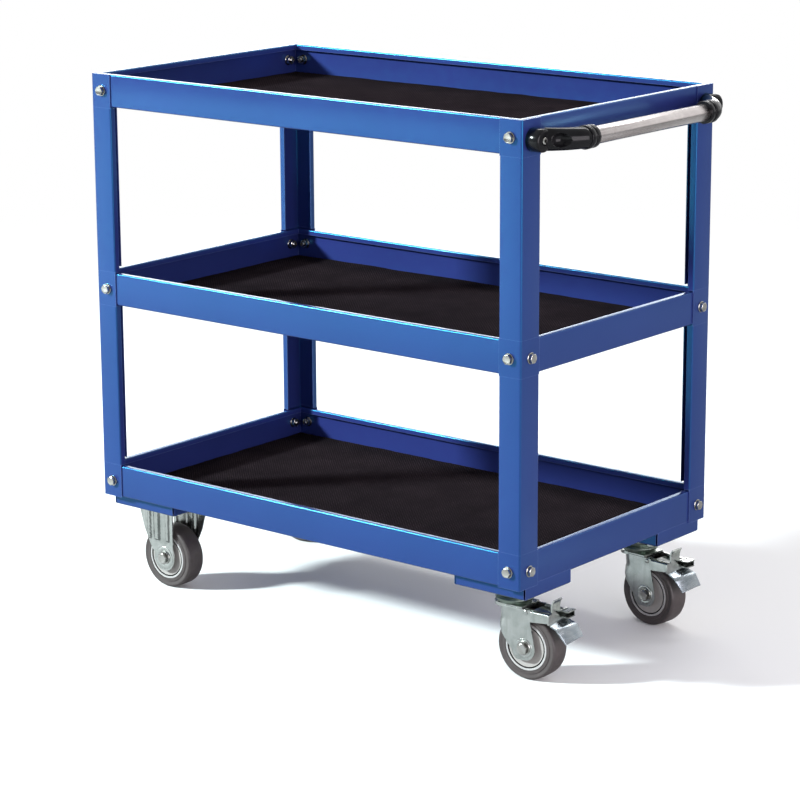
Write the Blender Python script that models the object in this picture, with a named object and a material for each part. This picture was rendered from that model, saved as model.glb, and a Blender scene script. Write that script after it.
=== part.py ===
"""Three-tier tool cart: folded uprights, pressed trays, push handle, fixed and swivel casters.

Metres, +Z up. The long sides run along X with the handle at +X, the front is at -Y, and the
origin is on the floor under the middle of the whole cart's box.
"""
from math import atan2, cos, pi, radians, sin, sqrt, tau

import bmesh
import bpy
from mathutils import Matrix, Vector

GAP = 0.0003                      # clearance kept between pieces that touch
OVERLAP = 0.001                   # how far pieces of one pressing or casting reach into each other
CUT_PAST = 0.010                  # how far a helper drill reaches past the face it opens

# Frame
LENGTH = 0.824                    # over the uprights, along X
WIDTH = 0.476                     # over the uprights, along Y
UPRIGHT_FOOT = 0.1560             # height of the uprights' lower ends above the floor
UPRIGHT_HEIGHT = 0.671
UPRIGHT_SHEET = 0.0015
LEG_X = 0.0385                    # leg width on the long sides
LEG_Y = 0.0435                    # leg width on the ends
LIP = 0.010                       # return lip along each leg's edge
LIP_END_GAP = 0.002               # between a lip's end and the tray above or below it

# Trays
TRAY_SHEET = 0.0012
TRAY_WALL = 0.050
RIM_WIDTH = 0.010                 # rim turned inward
RIM_LIP = 0.0085                  # and down
TRAY_TOPS = {"bottom": 0.0508, "middle": 0.361, "top": UPRIGHT_HEIGHT}   # above the upright's foot
MAT_THICKNESS = 0.002
MAT_MARGIN = 0.0015

# Bolts, M8 hexagon
BOLT_DROP = 0.0255                # below the tray's rim
BOLT_FROM_CORNER_X = 0.0205
BOLT_FROM_CORNER_Y = 0.0225
BOLT_RADIUS = 0.004
BOLT_HEAD = 0.0047
BOLT_HEX_RADIUS = 0.0075
BOLT_END = 0.0032
NUT_HEIGHT = 0.0062
WASHER_RADIUS = 0.0084
WASHER_THICKNESS = 0.0016
WASHER_SIDES = 8
HOLE_RADIUS = 0.0046
HOLE_DEPTH = 0.006                # of the trays' helper drills

# Handle
HANDLE_DROP = 0.029               # axis below the top tray's rim
HANDLE_REACH = 0.046              # axis beyond the uprights' outer faces
HANDLE_RADIUS = 0.0125
HANDLE_BORE = 0.0113
ELBOW_RADIUS = 0.0150
ELBOW_END_Y = 0.139               # collars' inner ends, from the middle plane
COLLAR_RADIUS = 0.0165
COLLAR_LENGTH = 0.020
SOCKET_DEPTH = 0.018
ELBOW_BASE_Y = 0.215
ELBOW_BASE_RADIUS = 0.0165
ELBOW_BASE_DEPTH = 0.025
ELBOW_CHAMFER = 0.003
ELBOW_SCREW_RECESS = 0.0075
ELBOW_RECESS_DEPTH = 0.006
ELBOW_START_X = 0.014             # the bend's first point, beyond the uprights' outer faces
ELBOW_START_INSET = 0.004         # and its distance from the base's axis, towards the middle plane
ELBOW_CORNER_INSET = 0.012        # the same for the point that the bend is drawn towards
ELBOW_STEPS = 7
ELBOW_SEGMENTS = 14
BASE_SEGMENTS = 16
TUBE_SEGMENTS = 20

# Caster brackets
BRACKET_SHEET = 0.002
BRACKET_LENGTH = 0.128
BRACKET_OUTER_Y = 0.222
BRACKET_INNER_Y = 0.112
BRACKET_HEIGHT = 0.0185
BRACKET_RIGHT_END = LENGTH / 2 - UPRIGHT_SHEET
BRACKET_LEFT_END = LENGTH / 2 - 0.0085
BRACKET_SLIT = 0.0012             # relief slit beside each corner fold

# Casters, 100 mm wheels
WHEEL_RADIUS = 0.050
WHEEL_HALF_WIDTH = 0.017
TYRE_INNER_RADIUS = 0.036
TYRE_WALL_RADIUS = 0.0468         # where the side wall starts to turn
TYRE_SHOULDER = 0.0492
TYRE_SHOULDER_IN = 0.002          # from the side wall
TYRE_CROWN_IN = 0.0060
TYRE_CROWN_DROP = 0.0003
HUB_BOSS_RADIUS = 0.011
HUB_HALF_WIDTH = 0.0200
HUB_WEB_IN = 0.005                # the web's face at the boss, from the side wall
HUB_DISH_IN = 0.0035              # and at the rim
HUB_DISH_STEP = 0.004             # the rim's thickness where the web meets it
HUB_RIM_STEP = 0.002              # and at its edge
AXLE_RADIUS = 0.005
AXLE_HEX_RADIUS = 0.0090
AXLE_HEAD = 0.0060
AXLE_NUT = 0.008
AXLE_END = 0.003
AXLE_SIDES = 8
BORE_RADIUS = 0.0056
WHEEL_SEGMENTS = 28
HUB_SEGMENTS = 24
FORK_SHEET = 0.0025
FORK_OUTER_Y = 0.0230             # fork plates' outer faces, from the wheel's middle plane
BORE_REACH = 0.030                # helper bores pass both fork plates
PLATE_X = 0.096
PLATE_Y = 0.072
PLATE_THICKNESS = 0.003
CASTER_Y = 0.160                  # wheels' and kingpins' distance from the middle plane
FIXED_X = -0.337
FIXED_PLATE_EXTRA = 0.006         # the fixed plate's extra length at each end
FIXED_BACK_X = -0.052             # a leg's slanted edge: its top, then points down it
FIXED_BACK_EDGE = [(-0.050, 0.121), (-0.0425, 0.095), (-0.030, 0.069)]
FIXED_FRONT_X = 0.0190            # and its straight edge, down to a foot
FIXED_FRONT_FOOT = 0.078
FIXED_EYE_RADIUS = 0.0215
FIXED_RIB = [(-0.014, 0.078), (0.0125, 0.078), (0.0145, 0.130), (-0.018, 0.130)]
RIB_HEIGHT = 0.0022               # of the rib pressed out of each fixed fork's leg
KINGPIN_X = 0.346
TRAIL = 0.031
SWIVEL_ANGLE = {"front": radians(2.4), "rear": radians(-6.0)}
KINGPIN_RADIUS = 0.006
KINGPIN_HEAD_RADIUS = 0.0095
KINGPIN_HEAD = 0.0022
KING_BORE = (0.130, 0.100)        # heights of the kingpin bore's ends
RACE_RADIUS = 0.029
RACE_LIP = 0.003                  # the upper race's width and height beyond the lower one
RACE_CHAMFER = 0.001
RACE_SEGMENTS = 20
PIN_SEGMENTS = 12
LOWER_RACE = 0.004                # height of the lower race's side
LOWER_RACE_FOOT = 0.0225          # radius where it meets the crown
CROWN_TOP = 0.111
CROWN_BOTTOM = 0.106
CROWN_CENTRE_X = -0.009           # of its round end
CROWN_END = 0.0275                # the crown stops short of the brake
CROWN_INSET = 0.0004              # inside the fork plates' outer faces
RACE_FACE = CROWN_TOP + 0.0115    # the upper race's lower face
SKIRT_FOOT = 0.0925
FORK_TOP = 0.1084
SWIVEL_BACK_EDGE = [(-0.0200, FORK_TOP), (-0.0175, 0.0860), (-0.0110, 0.0660), (0.0, 0.0525),
                    (0.0110, 0.0420)]
SWIVEL_FRONT_EDGE = [(0.0415, 0.0905), (0.0720, 0.0935), (0.0720, FORK_TOP)]
SWIVEL_EYE_RADIUS = 0.0190

# Brakes, as (distance from the kingpin, height above the floor)
BRAKE_PIN = (0.034, 0.1046)
BRAKE_PIN_RADIUS = 0.0022
BRAKE_PIN_STAND = 0.0016          # beyond the fork plates' outer faces
BRAKE_HALF = FORK_OUTER_Y - FORK_SHEET - 0.0012
BRAKE_SHEET = 0.002
WEB_INSET = 0.0005
WEB_OUTLINE = [(0.0372, 0.1045), (0.0740, 0.1020), (0.0740, 0.0990), (0.0630, 0.0990),
               (0.0615, 0.0960), (0.0540, 0.0975), (0.0520, 0.1000), (0.0372, 0.1020)]
FACE_OUTLINE = [(0.0732, 0.1082), (0.0757, 0.1082), (0.0757, 0.0925), (0.0732, 0.0925)]
FACE_HALF = 0.026
TAB_OUTLINE = [(0.0734, 0.1070), (0.0722, 0.1300), (0.0747, 0.1300), (0.0755, 0.1070)]
TAB_HALF = 0.012
PEDAL_OUTLINE = [(0.0755, 0.0965), (0.0790, 0.0925), (0.0900, 0.0870), (0.0975, 0.0795), (0.1035, 0.0690),
                 (0.1015, 0.0675), (0.0955, 0.0775), (0.0880, 0.0848), (0.0775, 0.0898), (0.0734, 0.0940)]
PEDAL_HALF = 0.020
CHEEK_RADIUS = 0.0052             # round the pin
CHEEK_END = [(0.0740, 0.0992), (0.0740, 0.1065)]

PLATE_TOP = UPRIGHT_FOOT - BRACKET_HEIGHT - GAP
HANDLE_TIP = LENGTH / 2 + HANDLE_REACH + COLLAR_RADIUS
HEAD_STAND = GAP + WASHER_THICKNESS + BOLT_HEAD
CENTRE_X = (HANDLE_TIP - LENGTH / 2 - HEAD_STAND) / 2    # moves the box's middle to the origin


def clear_scene():
    for old in list(bpy.data.objects):
        bpy.data.objects.remove(old, do_unlink=True)


def material(name, colour, roughness, metallic):
    made = bpy.data.materials.new(name)
    made.use_nodes = True
    shader = made.node_tree.nodes["Principled BSDF"]
    shader.inputs["Base Color"].default_value = (*colour, 1.0)
    shader.inputs["Roughness"].default_value = roughness
    shader.inputs["Metallic"].default_value = metallic
    made.diffuse_color = (*colour, 1.0)
    return made


def add_object(name, bm, finish, parent=None, smooth=False):
    """Turns a bmesh in the parent's space into a named object."""
    bmesh.ops.recalc_face_normals(bm, faces=bm.faces)
    mesh = bpy.data.meshes.new(name)
    bm.to_mesh(mesh)
    bm.free()
    if smooth:
        mesh.shade_smooth()
        mesh.set_sharp_from_angle(angle=radians(35))
    made = bpy.data.objects.new(name, mesh)
    if finish:
        mesh.materials.append(finish)
    bpy.context.collection.objects.link(made)
    made.parent = parent
    return made


def empty(name, location, turn=0.0, parent=None):
    made = bpy.data.objects.new(name, None)
    made.location = location
    made.rotation_euler = (0, 0, turn)
    bpy.context.collection.objects.link(made)
    made.parent = parent
    return made


def boolean(target, tool, operation):
    """Joins a helper shape to the target or cuts it away; the helper itself isn't a piece."""
    tool.hide_render = True
    tool.display_type = "WIRE"
    step = target.modifiers.new(operation.title(), "BOOLEAN")
    step.operation = operation
    step.object = tool
    step.solver = "EXACT"


def boxes_mesh(boxes):
    """One closed solid from overlapping or touching boxes, each (low corner, high corner)."""
    cuts = [sorted({round(box[end][axis], 7) for box in boxes for end in (0, 1)}) for axis in range(3)]
    count = [len(line) - 1 for line in cuts]

    def is_solid(cell):
        if any(not 0 <= cell[axis] < count[axis] for axis in range(3)):
            return False
        middle = [(cuts[axis][cell[axis]] + cuts[axis][cell[axis] + 1]) / 2 for axis in range(3)]
        return any(all(low[a] < middle[a] < high[a] for a in range(3)) for low, high in boxes)

    bm = bmesh.new()
    corners = {}

    def corner(index):
        if index not in corners:
            corners[index] = bm.verts.new([cuts[axis][index[axis]] for axis in range(3)])
        return corners[index]

    cells = [(i, j, k) for i in range(count[0]) for j in range(count[1]) for k in range(count[2])]
    for cell in filter(is_solid, cells):
        for axis in range(3):
            for side in (0, 1):
                beside = list(cell)
                beside[axis] += 1 if side else -1
                if is_solid(beside):
                    continue
                u, v = (axis + 1) % 3, (axis + 2) % 3
                ring = []
                for du, dv in ((0, 0), (1, 0), (1, 1), (0, 1)):
                    index = list(cell)
                    index[axis] += side
                    index[u] += du
                    index[v] += dv
                    ring.append(corner(tuple(index)))
                bm.faces.new(ring if side else ring[::-1])
    bmesh.ops.dissolve_limit(bm, angle_limit=radians(1), verts=bm.verts, edges=bm.edges)
    return bm


def prism_mesh(outline, axis, low, high):
    """An outline extruded along an axis: points are (x, z) along Y and (x, y) along Z."""
    bm = bmesh.new()
    place = {"Y": lambda p, t: (p[0], t, p[1]), "Z": lambda p, t: (p[0], p[1], t)}[axis]
    rings = [[bm.verts.new(place(point, t)) for point in outline] for t in (low, high)]
    bm.faces.new(rings[0])
    bm.faces.new(rings[1][::-1])
    size = len(outline)
    for i in range(size):
        j = (i + 1) % size
        bm.faces.new((rings[0][i], rings[1][i], rings[1][j], rings[0][j]))
    return bm


def arc(centre, radius, start, end, count):
    """Points of an arc, in degrees, both ends included."""
    turns = [radians(start + (end - start) * i / (count - 1)) for i in range(count)]
    return [(centre[0] + radius * cos(a), centre[1] + radius * sin(a)) for a in turns]


def turned_mesh(profile, segments, closed_ring):
    """A profile of (distance along Y, radius) turned about Y; a ring's profile closes on itself."""
    bm = bmesh.new()
    rings = [[bm.verts.new((r * cos(tau * i / segments), y, r * sin(tau * i / segments)))
              for i in range(segments)] for y, r in profile]
    pairs = list(zip(rings, rings[1:]))
    if closed_ring:
        pairs.append((rings[-1], rings[0]))
    else:
        bm.faces.new(rings[0])
        bm.faces.new(rings[-1][::-1])
    for a, b in pairs:
        for i in range(segments):
            j = (i + 1) % segments
            bm.faces.new((a[i], a[j], b[j], b[i]))
    return bm


def stack_mesh(rings):
    """A turned stack about Y whose rings, (distance, radius, sides), may differ in their sides."""
    bm = bmesh.new()
    made = [[bm.verts.new((r * cos(tau * i / n), y, r * sin(tau * i / n))) for i in range(n)]
            for y, r, n in rings]
    bm.faces.new(made[0])
    bm.faces.new(made[-1][::-1])
    for a, b in zip(made, made[1:]):
        i = j = 0
        while i < len(a) or j < len(b):
            if j == len(b) or (i < len(a) and (i + 1) / len(a) <= (j + 1) / len(b)):
                bm.faces.new((a[i % len(a)], a[(i + 1) % len(a)], b[j % len(b)]))
                i += 1
            else:
                bm.faces.new((a[i % len(a)], b[(j + 1) % len(b)], b[j % len(b)]))
                j += 1
    return bm


def swept_mesh(path, radii, segments):
    """A round bar of changing radius along a path that lies in a level plane."""
    bm = bmesh.new()
    rings = []
    for i, point in enumerate(path):
        before, after = path[max(i - 1, 0)], path[min(i + 1, len(path) - 1)]
        along = (Vector(after) - Vector(before)).normalized()
        side = Vector((along.y, -along.x, 0))
        rings.append([bm.verts.new(Vector(point) + radii[i] * (side * cos(tau * k / segments)
                                                                + Vector((0, 0, sin(tau * k / segments)))))
                      for k in range(segments)])
    bm.faces.new(rings[0])
    bm.faces.new(rings[-1][::-1])
    for a, b in zip(rings, rings[1:]):
        for k in range(segments):
            m = (k + 1) % segments
            bm.faces.new((a[k], a[m], b[m], b[k]))
    return bm


def turned_to(bm, direction, location):
    """Turns a mesh made about Y so that +Y points along a level direction, then moves it."""
    turn = atan2(direction[1], direction[0]) - pi / 2
    placed = Matrix.Translation(location) @ Matrix.Rotation(turn, 4, "Z")
    bmesh.ops.transform(bm, matrix=placed, verts=bm.verts)
    return bm


def rod_mesh(radius, start, end, sides):
    return stack_mesh([(start, radius, sides), (end, radius, sides)])


def mirrored(box, sx, sy):
    """A box in the first quadrant moved to another corner of the cart."""
    (x0, y0, z0), (x1, y1, z1) = box
    xs, ys = sorted((x0 * sx, x1 * sx)), sorted((y0 * sy, y1 * sy))
    return (xs[0], ys[0], z0), (xs[1], ys[1], z1)


def bolt_places(level):
    """Each tray bolt at a level: (end, side, face, place on the upright's outer face, direction)."""
    z = UPRIGHT_FOOT + TRAY_TOPS[level] - BOLT_DROP
    for end, sx in (("left", -1), ("right", 1)):
        for side, sy in (("front", -1), ("rear", 1)):
            x = sx * (LENGTH / 2 - BOLT_FROM_CORNER_X)
            yield end, side, "side", (x, sy * WIDTH / 2, z), (0, sy)
            if end == "right" and level == "top":
                yield end, side, "handle", (sx * LENGTH / 2, sy * ELBOW_BASE_Y, z), (sx, 0)
            else:
                y = sy * (WIDTH / 2 - BOLT_FROM_CORNER_Y)
                yield end, side, "end", (sx * LENGTH / 2, y, z), (sx, 0)


def hole_cutters(name, places, depth, parent):
    """One helper with a hexagonal drill at each place, reaching inward by depth."""
    bm = bmesh.new()
    for place, direction in places:
        drill = turned_to(rod_mesh(HOLE_RADIUS, -depth, BOLT_HEAD, 6), direction, place)
        spare = bpy.data.meshes.new("drill")
        drill.to_mesh(spare)
        drill.free()
        bm.from_mesh(spare)
        bpy.data.meshes.remove(spare)
    return add_object(name, bm, None, parent)


def make_uprights(cart, finish):
    top = UPRIGHT_FOOT + UPRIGHT_HEIGHT
    half_x, half_y, t = LENGTH / 2, WIDTH / 2, UPRIGHT_SHEET
    lips = []
    levels = list(TRAY_TOPS.values())
    for below, above in zip(levels, levels[1:]):
        lips.append((UPRIGHT_FOOT + below + LIP_END_GAP, UPRIGHT_FOOT + above - TRAY_WALL - LIP_END_GAP))
    for end, sx in (("left", -1), ("right", 1)):
        for side, sy in (("front", -1), ("rear", 1)):
            inner_x, inner_y = half_x - LEG_X, half_y - LEG_Y
            boxes = [((inner_x, half_y - t, UPRIGHT_FOOT), (half_x, half_y, top)),
                     ((half_x - t, inner_y, UPRIGHT_FOOT), (half_x, half_y, top))]
            for low, high in lips:
                boxes.append(((inner_x, half_y - LIP, low), (inner_x + t, half_y, high)))
                boxes.append(((half_x - LIP, inner_y, low), (half_x, inner_y + t, high)))
            name = f"upright_{side}_{end}"
            upright = add_object(name, boxes_mesh([mirrored(b, sx, sy) for b in boxes]), finish, cart)
            places = [(place, way) for level in TRAY_TOPS for e, s, _, place, way in bolt_places(level)
                      if (e, s) == (end, side)]
            boolean(upright, hole_cutters(f"drill_{name}", places, 2 * t, cart), "DIFFERENCE")


def make_trays(cart, finish, mat_finish):
    outer_x = LENGTH / 2 - UPRIGHT_SHEET - GAP
    outer_y = WIDTH / 2 - UPRIGHT_SHEET - GAP
    t = TRAY_SHEET
    lip_x, lip_y = outer_x - RIM_WIDTH, outer_y - RIM_WIDTH
    for level, rise in TRAY_TOPS.items():
        top = UPRIGHT_FOOT + rise
        foot = top - TRAY_WALL
        boxes = [((-outer_x, -outer_y, foot), (outer_x, outer_y, foot + t))]
        for s in (-1, 1):
            boxes += [
                mirrored(((-outer_x, outer_y - t, foot), (outer_x, outer_y, top)), 1, s),
                mirrored(((outer_x - t, -outer_y, foot), (outer_x, outer_y, top)), s, 1),
                mirrored(((-outer_x, lip_y, top - t), (outer_x, outer_y, top)), 1, s),
                mirrored(((lip_x, -outer_y, top - t), (outer_x, outer_y, top)), s, 1),
                mirrored(((-lip_x - t, lip_y, top - RIM_LIP), (lip_x + t, lip_y + t, top)), 1, s),
                mirrored(((lip_x, -lip_y - t, top - RIM_LIP), (lip_x + t, lip_y + t, top)), s, 1),
            ]
        tray = add_object(f"tray_{level}", boxes_mesh(boxes), finish, cart)
        places = [(place, way) for _, _, _, place, way in bolt_places(level)]
        boolean(tray, hole_cutters(f"drill_tray_{level}", places, HOLE_DEPTH, cart), "DIFFERENCE")
        mat_x, mat_y = outer_x - t - MAT_MARGIN, outer_y - t - MAT_MARGIN
        low = foot + t + GAP
        mat = [((-mat_x, -mat_y, low), (mat_x, mat_y, low + MAT_THICKNESS))]
        add_object(f"mat_{level}", boxes_mesh(mat), mat_finish, cart)


def make_tray_bolts(cart, finish):
    """Head and washer outside the upright, nut and washer inside the tray, as one clamped set."""
    inside = -(UPRIGHT_SHEET + GAP + TRAY_SHEET + GAP)
    nut_top = inside - WASHER_THICKNESS - NUT_HEIGHT
    rings = [(HEAD_STAND, BOLT_HEX_RADIUS, 6),
             (GAP + WASHER_THICKNESS, BOLT_HEX_RADIUS, 6),
             (GAP + WASHER_THICKNESS, WASHER_RADIUS, WASHER_SIDES),
             (GAP, WASHER_RADIUS, WASHER_SIDES),
             (GAP, BOLT_RADIUS, 6),
             (inside, BOLT_RADIUS, 6),
             (inside, WASHER_RADIUS, WASHER_SIDES),
             (inside - WASHER_THICKNESS, WASHER_RADIUS, WASHER_SIDES),
             (inside - WASHER_THICKNESS, BOLT_HEX_RADIUS, 6),
             (nut_top, BOLT_HEX_RADIUS, 6),
             (nut_top, BOLT_RADIUS, 6),
             (nut_top - BOLT_END, BOLT_RADIUS, 6)]
    for level in TRAY_TOPS:
        for end, side, face, place, way in bolt_places(level):
            if face != "handle":
                bolt = turned_to(stack_mesh(rings), way, place)
                add_object(f"bolt_{level}_{side}_{end}_{face}", bolt, finish, cart)


def make_handle(cart, tube_finish, elbow_finish):
    z = UPRIGHT_FOOT + UPRIGHT_HEIGHT - HANDLE_DROP
    axis_x = LENGTH / 2 + HANDLE_REACH
    tube_end = ELBOW_END_Y + SOCKET_DEPTH - GAP
    profile = [(-tube_end, HANDLE_BORE), (-tube_end, HANDLE_RADIUS),
               (tube_end, HANDLE_RADIUS), (tube_end, HANDLE_BORE)]
    tube = turned_to(turned_mesh(profile, TUBE_SEGMENTS, True), (0, 1), (axis_x, 0, z))
    add_object("handle_tube", tube, tube_finish, cart, smooth=True)
    for side, sy in (("front", -1), ("rear", 1)):
        start = Vector((LENGTH / 2 + ELBOW_START_X, sy * (ELBOW_BASE_Y - ELBOW_START_INSET), z))
        corner = Vector((axis_x, sy * (ELBOW_BASE_Y - ELBOW_CORNER_INSET), z))
        finish_line = Vector((axis_x, sy * (ELBOW_END_Y + COLLAR_LENGTH), z))
        path, radii = [], []
        for i in range(ELBOW_STEPS + 1):
            t = i / ELBOW_STEPS
            path.append(start * (1 - t) ** 2 + corner * (2 * t * (1 - t)) + finish_line * t ** 2)
            radii.append(ELBOW_RADIUS)
        for along in (COLLAR_LENGTH - OVERLAP, 0.0):
            path.append(Vector((axis_x, sy * (ELBOW_END_Y + along), z)))
            radii.append(COLLAR_RADIUS)
        neck = swept_mesh(path, radii, ELBOW_SEGMENTS)
        elbow = add_object(f"handle_bracket_{side}", neck, elbow_finish, cart)
        base_rings = [(GAP, ELBOW_BASE_RADIUS, BASE_SEGMENTS),
                      (ELBOW_BASE_DEPTH - ELBOW_CHAMFER, ELBOW_BASE_RADIUS, BASE_SEGMENTS),
                      (ELBOW_BASE_DEPTH, ELBOW_BASE_RADIUS - ELBOW_CHAMFER, BASE_SEGMENTS)]
        place = (LENGTH / 2, sy * ELBOW_BASE_Y, z)
        base = add_object(f"base_{side}", turned_to(stack_mesh(base_rings), (1, 0), place), None, cart)
        boolean(elbow, base, "UNION")
        socket = turned_to(rod_mesh(HANDLE_RADIUS + GAP, -SOCKET_DEPTH, CUT_PAST, TUBE_SEGMENTS), (0, -sy),
                           (axis_x, sy * ELBOW_END_Y, z))
        boolean(elbow, add_object(f"socket_{side}", socket, None, cart), "DIFFERENCE")
        recess = rod_mesh(ELBOW_SCREW_RECESS, ELBOW_BASE_DEPTH - ELBOW_RECESS_DEPTH,
                          ELBOW_BASE_DEPTH + CUT_PAST, BASE_SEGMENTS)
        cut = add_object(f"recess_{side}", turned_to(recess, (1, 0), place), None, cart)
        boolean(elbow, cut, "DIFFERENCE")


def make_caster_brackets(cart, finish):
    """Shallow folded boxes, open above, with a slit beside each fold of the long flanges."""
    low, high, t = UPRIGHT_FOOT - BRACKET_HEIGHT, UPRIGHT_FOOT - GAP, BRACKET_SHEET
    for end, sx, outer_x in (("left", -1, BRACKET_LEFT_END), ("right", 1, BRACKET_RIGHT_END)):
        for side, sy in (("front", -1), ("rear", 1)):
            inner_x = outer_x - BRACKET_LENGTH
            y0, y1 = BRACKET_INNER_Y, BRACKET_OUTER_Y
            slit = t + BRACKET_SLIT
            boxes = [((inner_x, y0, low), (outer_x, y1, low + t)),
                     ((outer_x - t, y0, low), (outer_x, y1, high)),
                     ((inner_x, y0, low), (inner_x + t, y1, high)),
                     ((inner_x + slit, y1 - t, low), (outer_x - slit, y1, high)),
                     ((inner_x + slit, y0, low), (outer_x - slit, y0 + t, high))]
            bracket = boxes_mesh([mirrored(box, sx, sy) for box in boxes])
            add_object(f"caster_bracket_{side}_{end}", bracket, finish, cart)


def make_wheel(prefix, carrier, finishes):
    """Tyre, hub and axle bolt about the carrier's Y axis through the wheel's centre."""
    w, r = WHEEL_HALF_WIDTH, WHEEL_RADIUS
    wall = [(w, TYRE_INNER_RADIUS), (w, TYRE_WALL_RADIUS), (w - TYRE_SHOULDER_IN, TYRE_SHOULDER),
            (w - TYRE_CROWN_IN, r - TYRE_CROWN_DROP)]
    tyre = [(-y, radius) for y, radius in wall] + [(0, r)] + wall[::-1]
    tyre_mesh = turned_mesh(tyre, WHEEL_SEGMENTS, True)
    bottom_turn = Matrix.Rotation(-pi / 2 % (tau / WHEEL_SEGMENTS), 3, "Y")
    bmesh.ops.rotate(tyre_mesh, cent=(0, 0, 0), matrix=bottom_turn, verts=tyre_mesh.verts)
    add_object(f"{prefix}_tyre", tyre_mesh, finishes["tyre"], carrier, smooth=True)
    rim = TYRE_INNER_RADIUS - GAP
    face = [(HUB_HALF_WIDTH, BORE_RADIUS), (HUB_HALF_WIDTH, HUB_BOSS_RADIUS),
            (w - HUB_WEB_IN, HUB_BOSS_RADIUS), (w - HUB_DISH_IN, rim - HUB_DISH_STEP),
            (w, rim - HUB_RIM_STEP), (w, rim)]
    hub = [(-y, radius) for y, radius in face] + face[::-1]
    add_object(f"{prefix}_hub", turned_mesh(hub, HUB_SEGMENTS, True), finishes["hub"], carrier, smooth=True)


def make_axle(prefix, carrier, finish):
    seat = FORK_OUTER_Y + GAP
    nut = seat + AXLE_NUT
    rings = [(-seat - AXLE_HEAD, AXLE_HEX_RADIUS, 6), (-seat, AXLE_HEX_RADIUS, 6),
             (-seat, AXLE_RADIUS, AXLE_SIDES), (seat, AXLE_RADIUS, AXLE_SIDES),
             (seat, AXLE_HEX_RADIUS, 6), (nut, AXLE_HEX_RADIUS, 6),
             (nut, AXLE_RADIUS, AXLE_SIDES), (nut + AXLE_END, AXLE_RADIUS, AXLE_SIDES)]
    add_object(f"{prefix}_axle_bolt", stack_mesh(rings), finish, carrier)


def fork_plates(near_outline, far_outline, parent, name, finish):
    """Two side plates of a fork: the first becomes the piece, the second is joined to it."""
    near = prism_mesh(near_outline, "Y", -FORK_OUTER_Y, -FORK_OUTER_Y + FORK_SHEET)
    fork = add_object(name, near, finish, parent)
    far = prism_mesh(far_outline, "Y", FORK_OUTER_Y - FORK_SHEET, FORK_OUTER_Y)
    return fork, add_object(f"{name}_far_plate", far, None, parent)


def make_fixed_caster(side, sy, cart, finishes):
    """Fork and mounting plate are one pressing, its ribbed legs alike and half a turn apart."""
    mount = empty(f"fixed_caster_{side}", (FIXED_X, sy * CASTER_Y, 0), 0.0, cart)
    prefix = f"{side}_left"
    top = PLATE_TOP - PLATE_THICKNESS / 2
    outline = [(FIXED_BACK_X, top)] + FIXED_BACK_EDGE
    outline += arc((0, WHEEL_RADIUS), FIXED_EYE_RADIUS, 165, 375, 10)
    outline += [(FIXED_FRONT_X, FIXED_FRONT_FOOT), (FIXED_FRONT_X, top)]
    far_outline = [(-x, z) for x, z in outline]
    fork, far_plate = fork_plates(outline, far_outline, mount, f"{prefix}_fork", finishes["zinc"])
    plate_x = PLATE_X / 2 + FIXED_PLATE_EXTRA
    plate = boxes_mesh([((-plate_x, -PLATE_Y / 2, PLATE_TOP - PLATE_THICKNESS),
                         (plate_x, PLATE_Y / 2, PLATE_TOP))])
    far_rib = [(-x, z) for x, z in FIXED_RIB]
    root, crest = FORK_OUTER_Y - OVERLAP, FORK_OUTER_Y + RIB_HEIGHT
    joined = [far_plate]
    for label, mesh in (("plate", plate), ("rib_front", prism_mesh(FIXED_RIB, "Y", -crest, -root)),
                        ("rib_rear", prism_mesh(far_rib, "Y", root, crest))):
        joined.append(add_object(f"{prefix}_{label}", mesh, None, mount))
    for piece in joined:
        boolean(fork, piece, "UNION")
    wheel = empty(f"wheel_{prefix}", (0, 0, WHEEL_RADIUS), 0.0, mount)
    bore = rod_mesh(BORE_RADIUS, -BORE_REACH, BORE_REACH, AXLE_SIDES)
    boolean(fork, add_object(f"{prefix}_bore", bore, None, wheel), "DIFFERENCE")
    make_axle(prefix, wheel, finishes["zinc"])
    make_wheel(prefix, wheel, finishes)


def make_swivel_caster(side, sy, cart, finishes):
    kingpin = empty(f"swivel_caster_{side}", (KINGPIN_X, sy * CASTER_Y, 0), 0.0, cart)
    turning = empty(f"swivel_{side}", (0, 0, 0), SWIVEL_ANGLE[side], kingpin)
    prefix = f"{side}_right"
    make_top_plate(prefix, kingpin, finishes["zinc"])
    make_swivel_fork(prefix, turning, finishes["zinc"])
    wheel = empty(f"wheel_{prefix}", (TRAIL, 0, WHEEL_RADIUS), 0.0, turning)
    make_axle(prefix, wheel, finishes["zinc"])
    make_wheel(prefix, wheel, finishes)
    make_brake(prefix, turning, finishes["pedal"])


def upright_stack(rings):
    """A stack turned about Z: the rings' distances are heights above the floor."""
    bm = stack_mesh(rings)
    bmesh.ops.transform(bm, matrix=Matrix.Rotation(pi / 2, 4, "X"), verts=bm.verts)
    return bm


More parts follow.
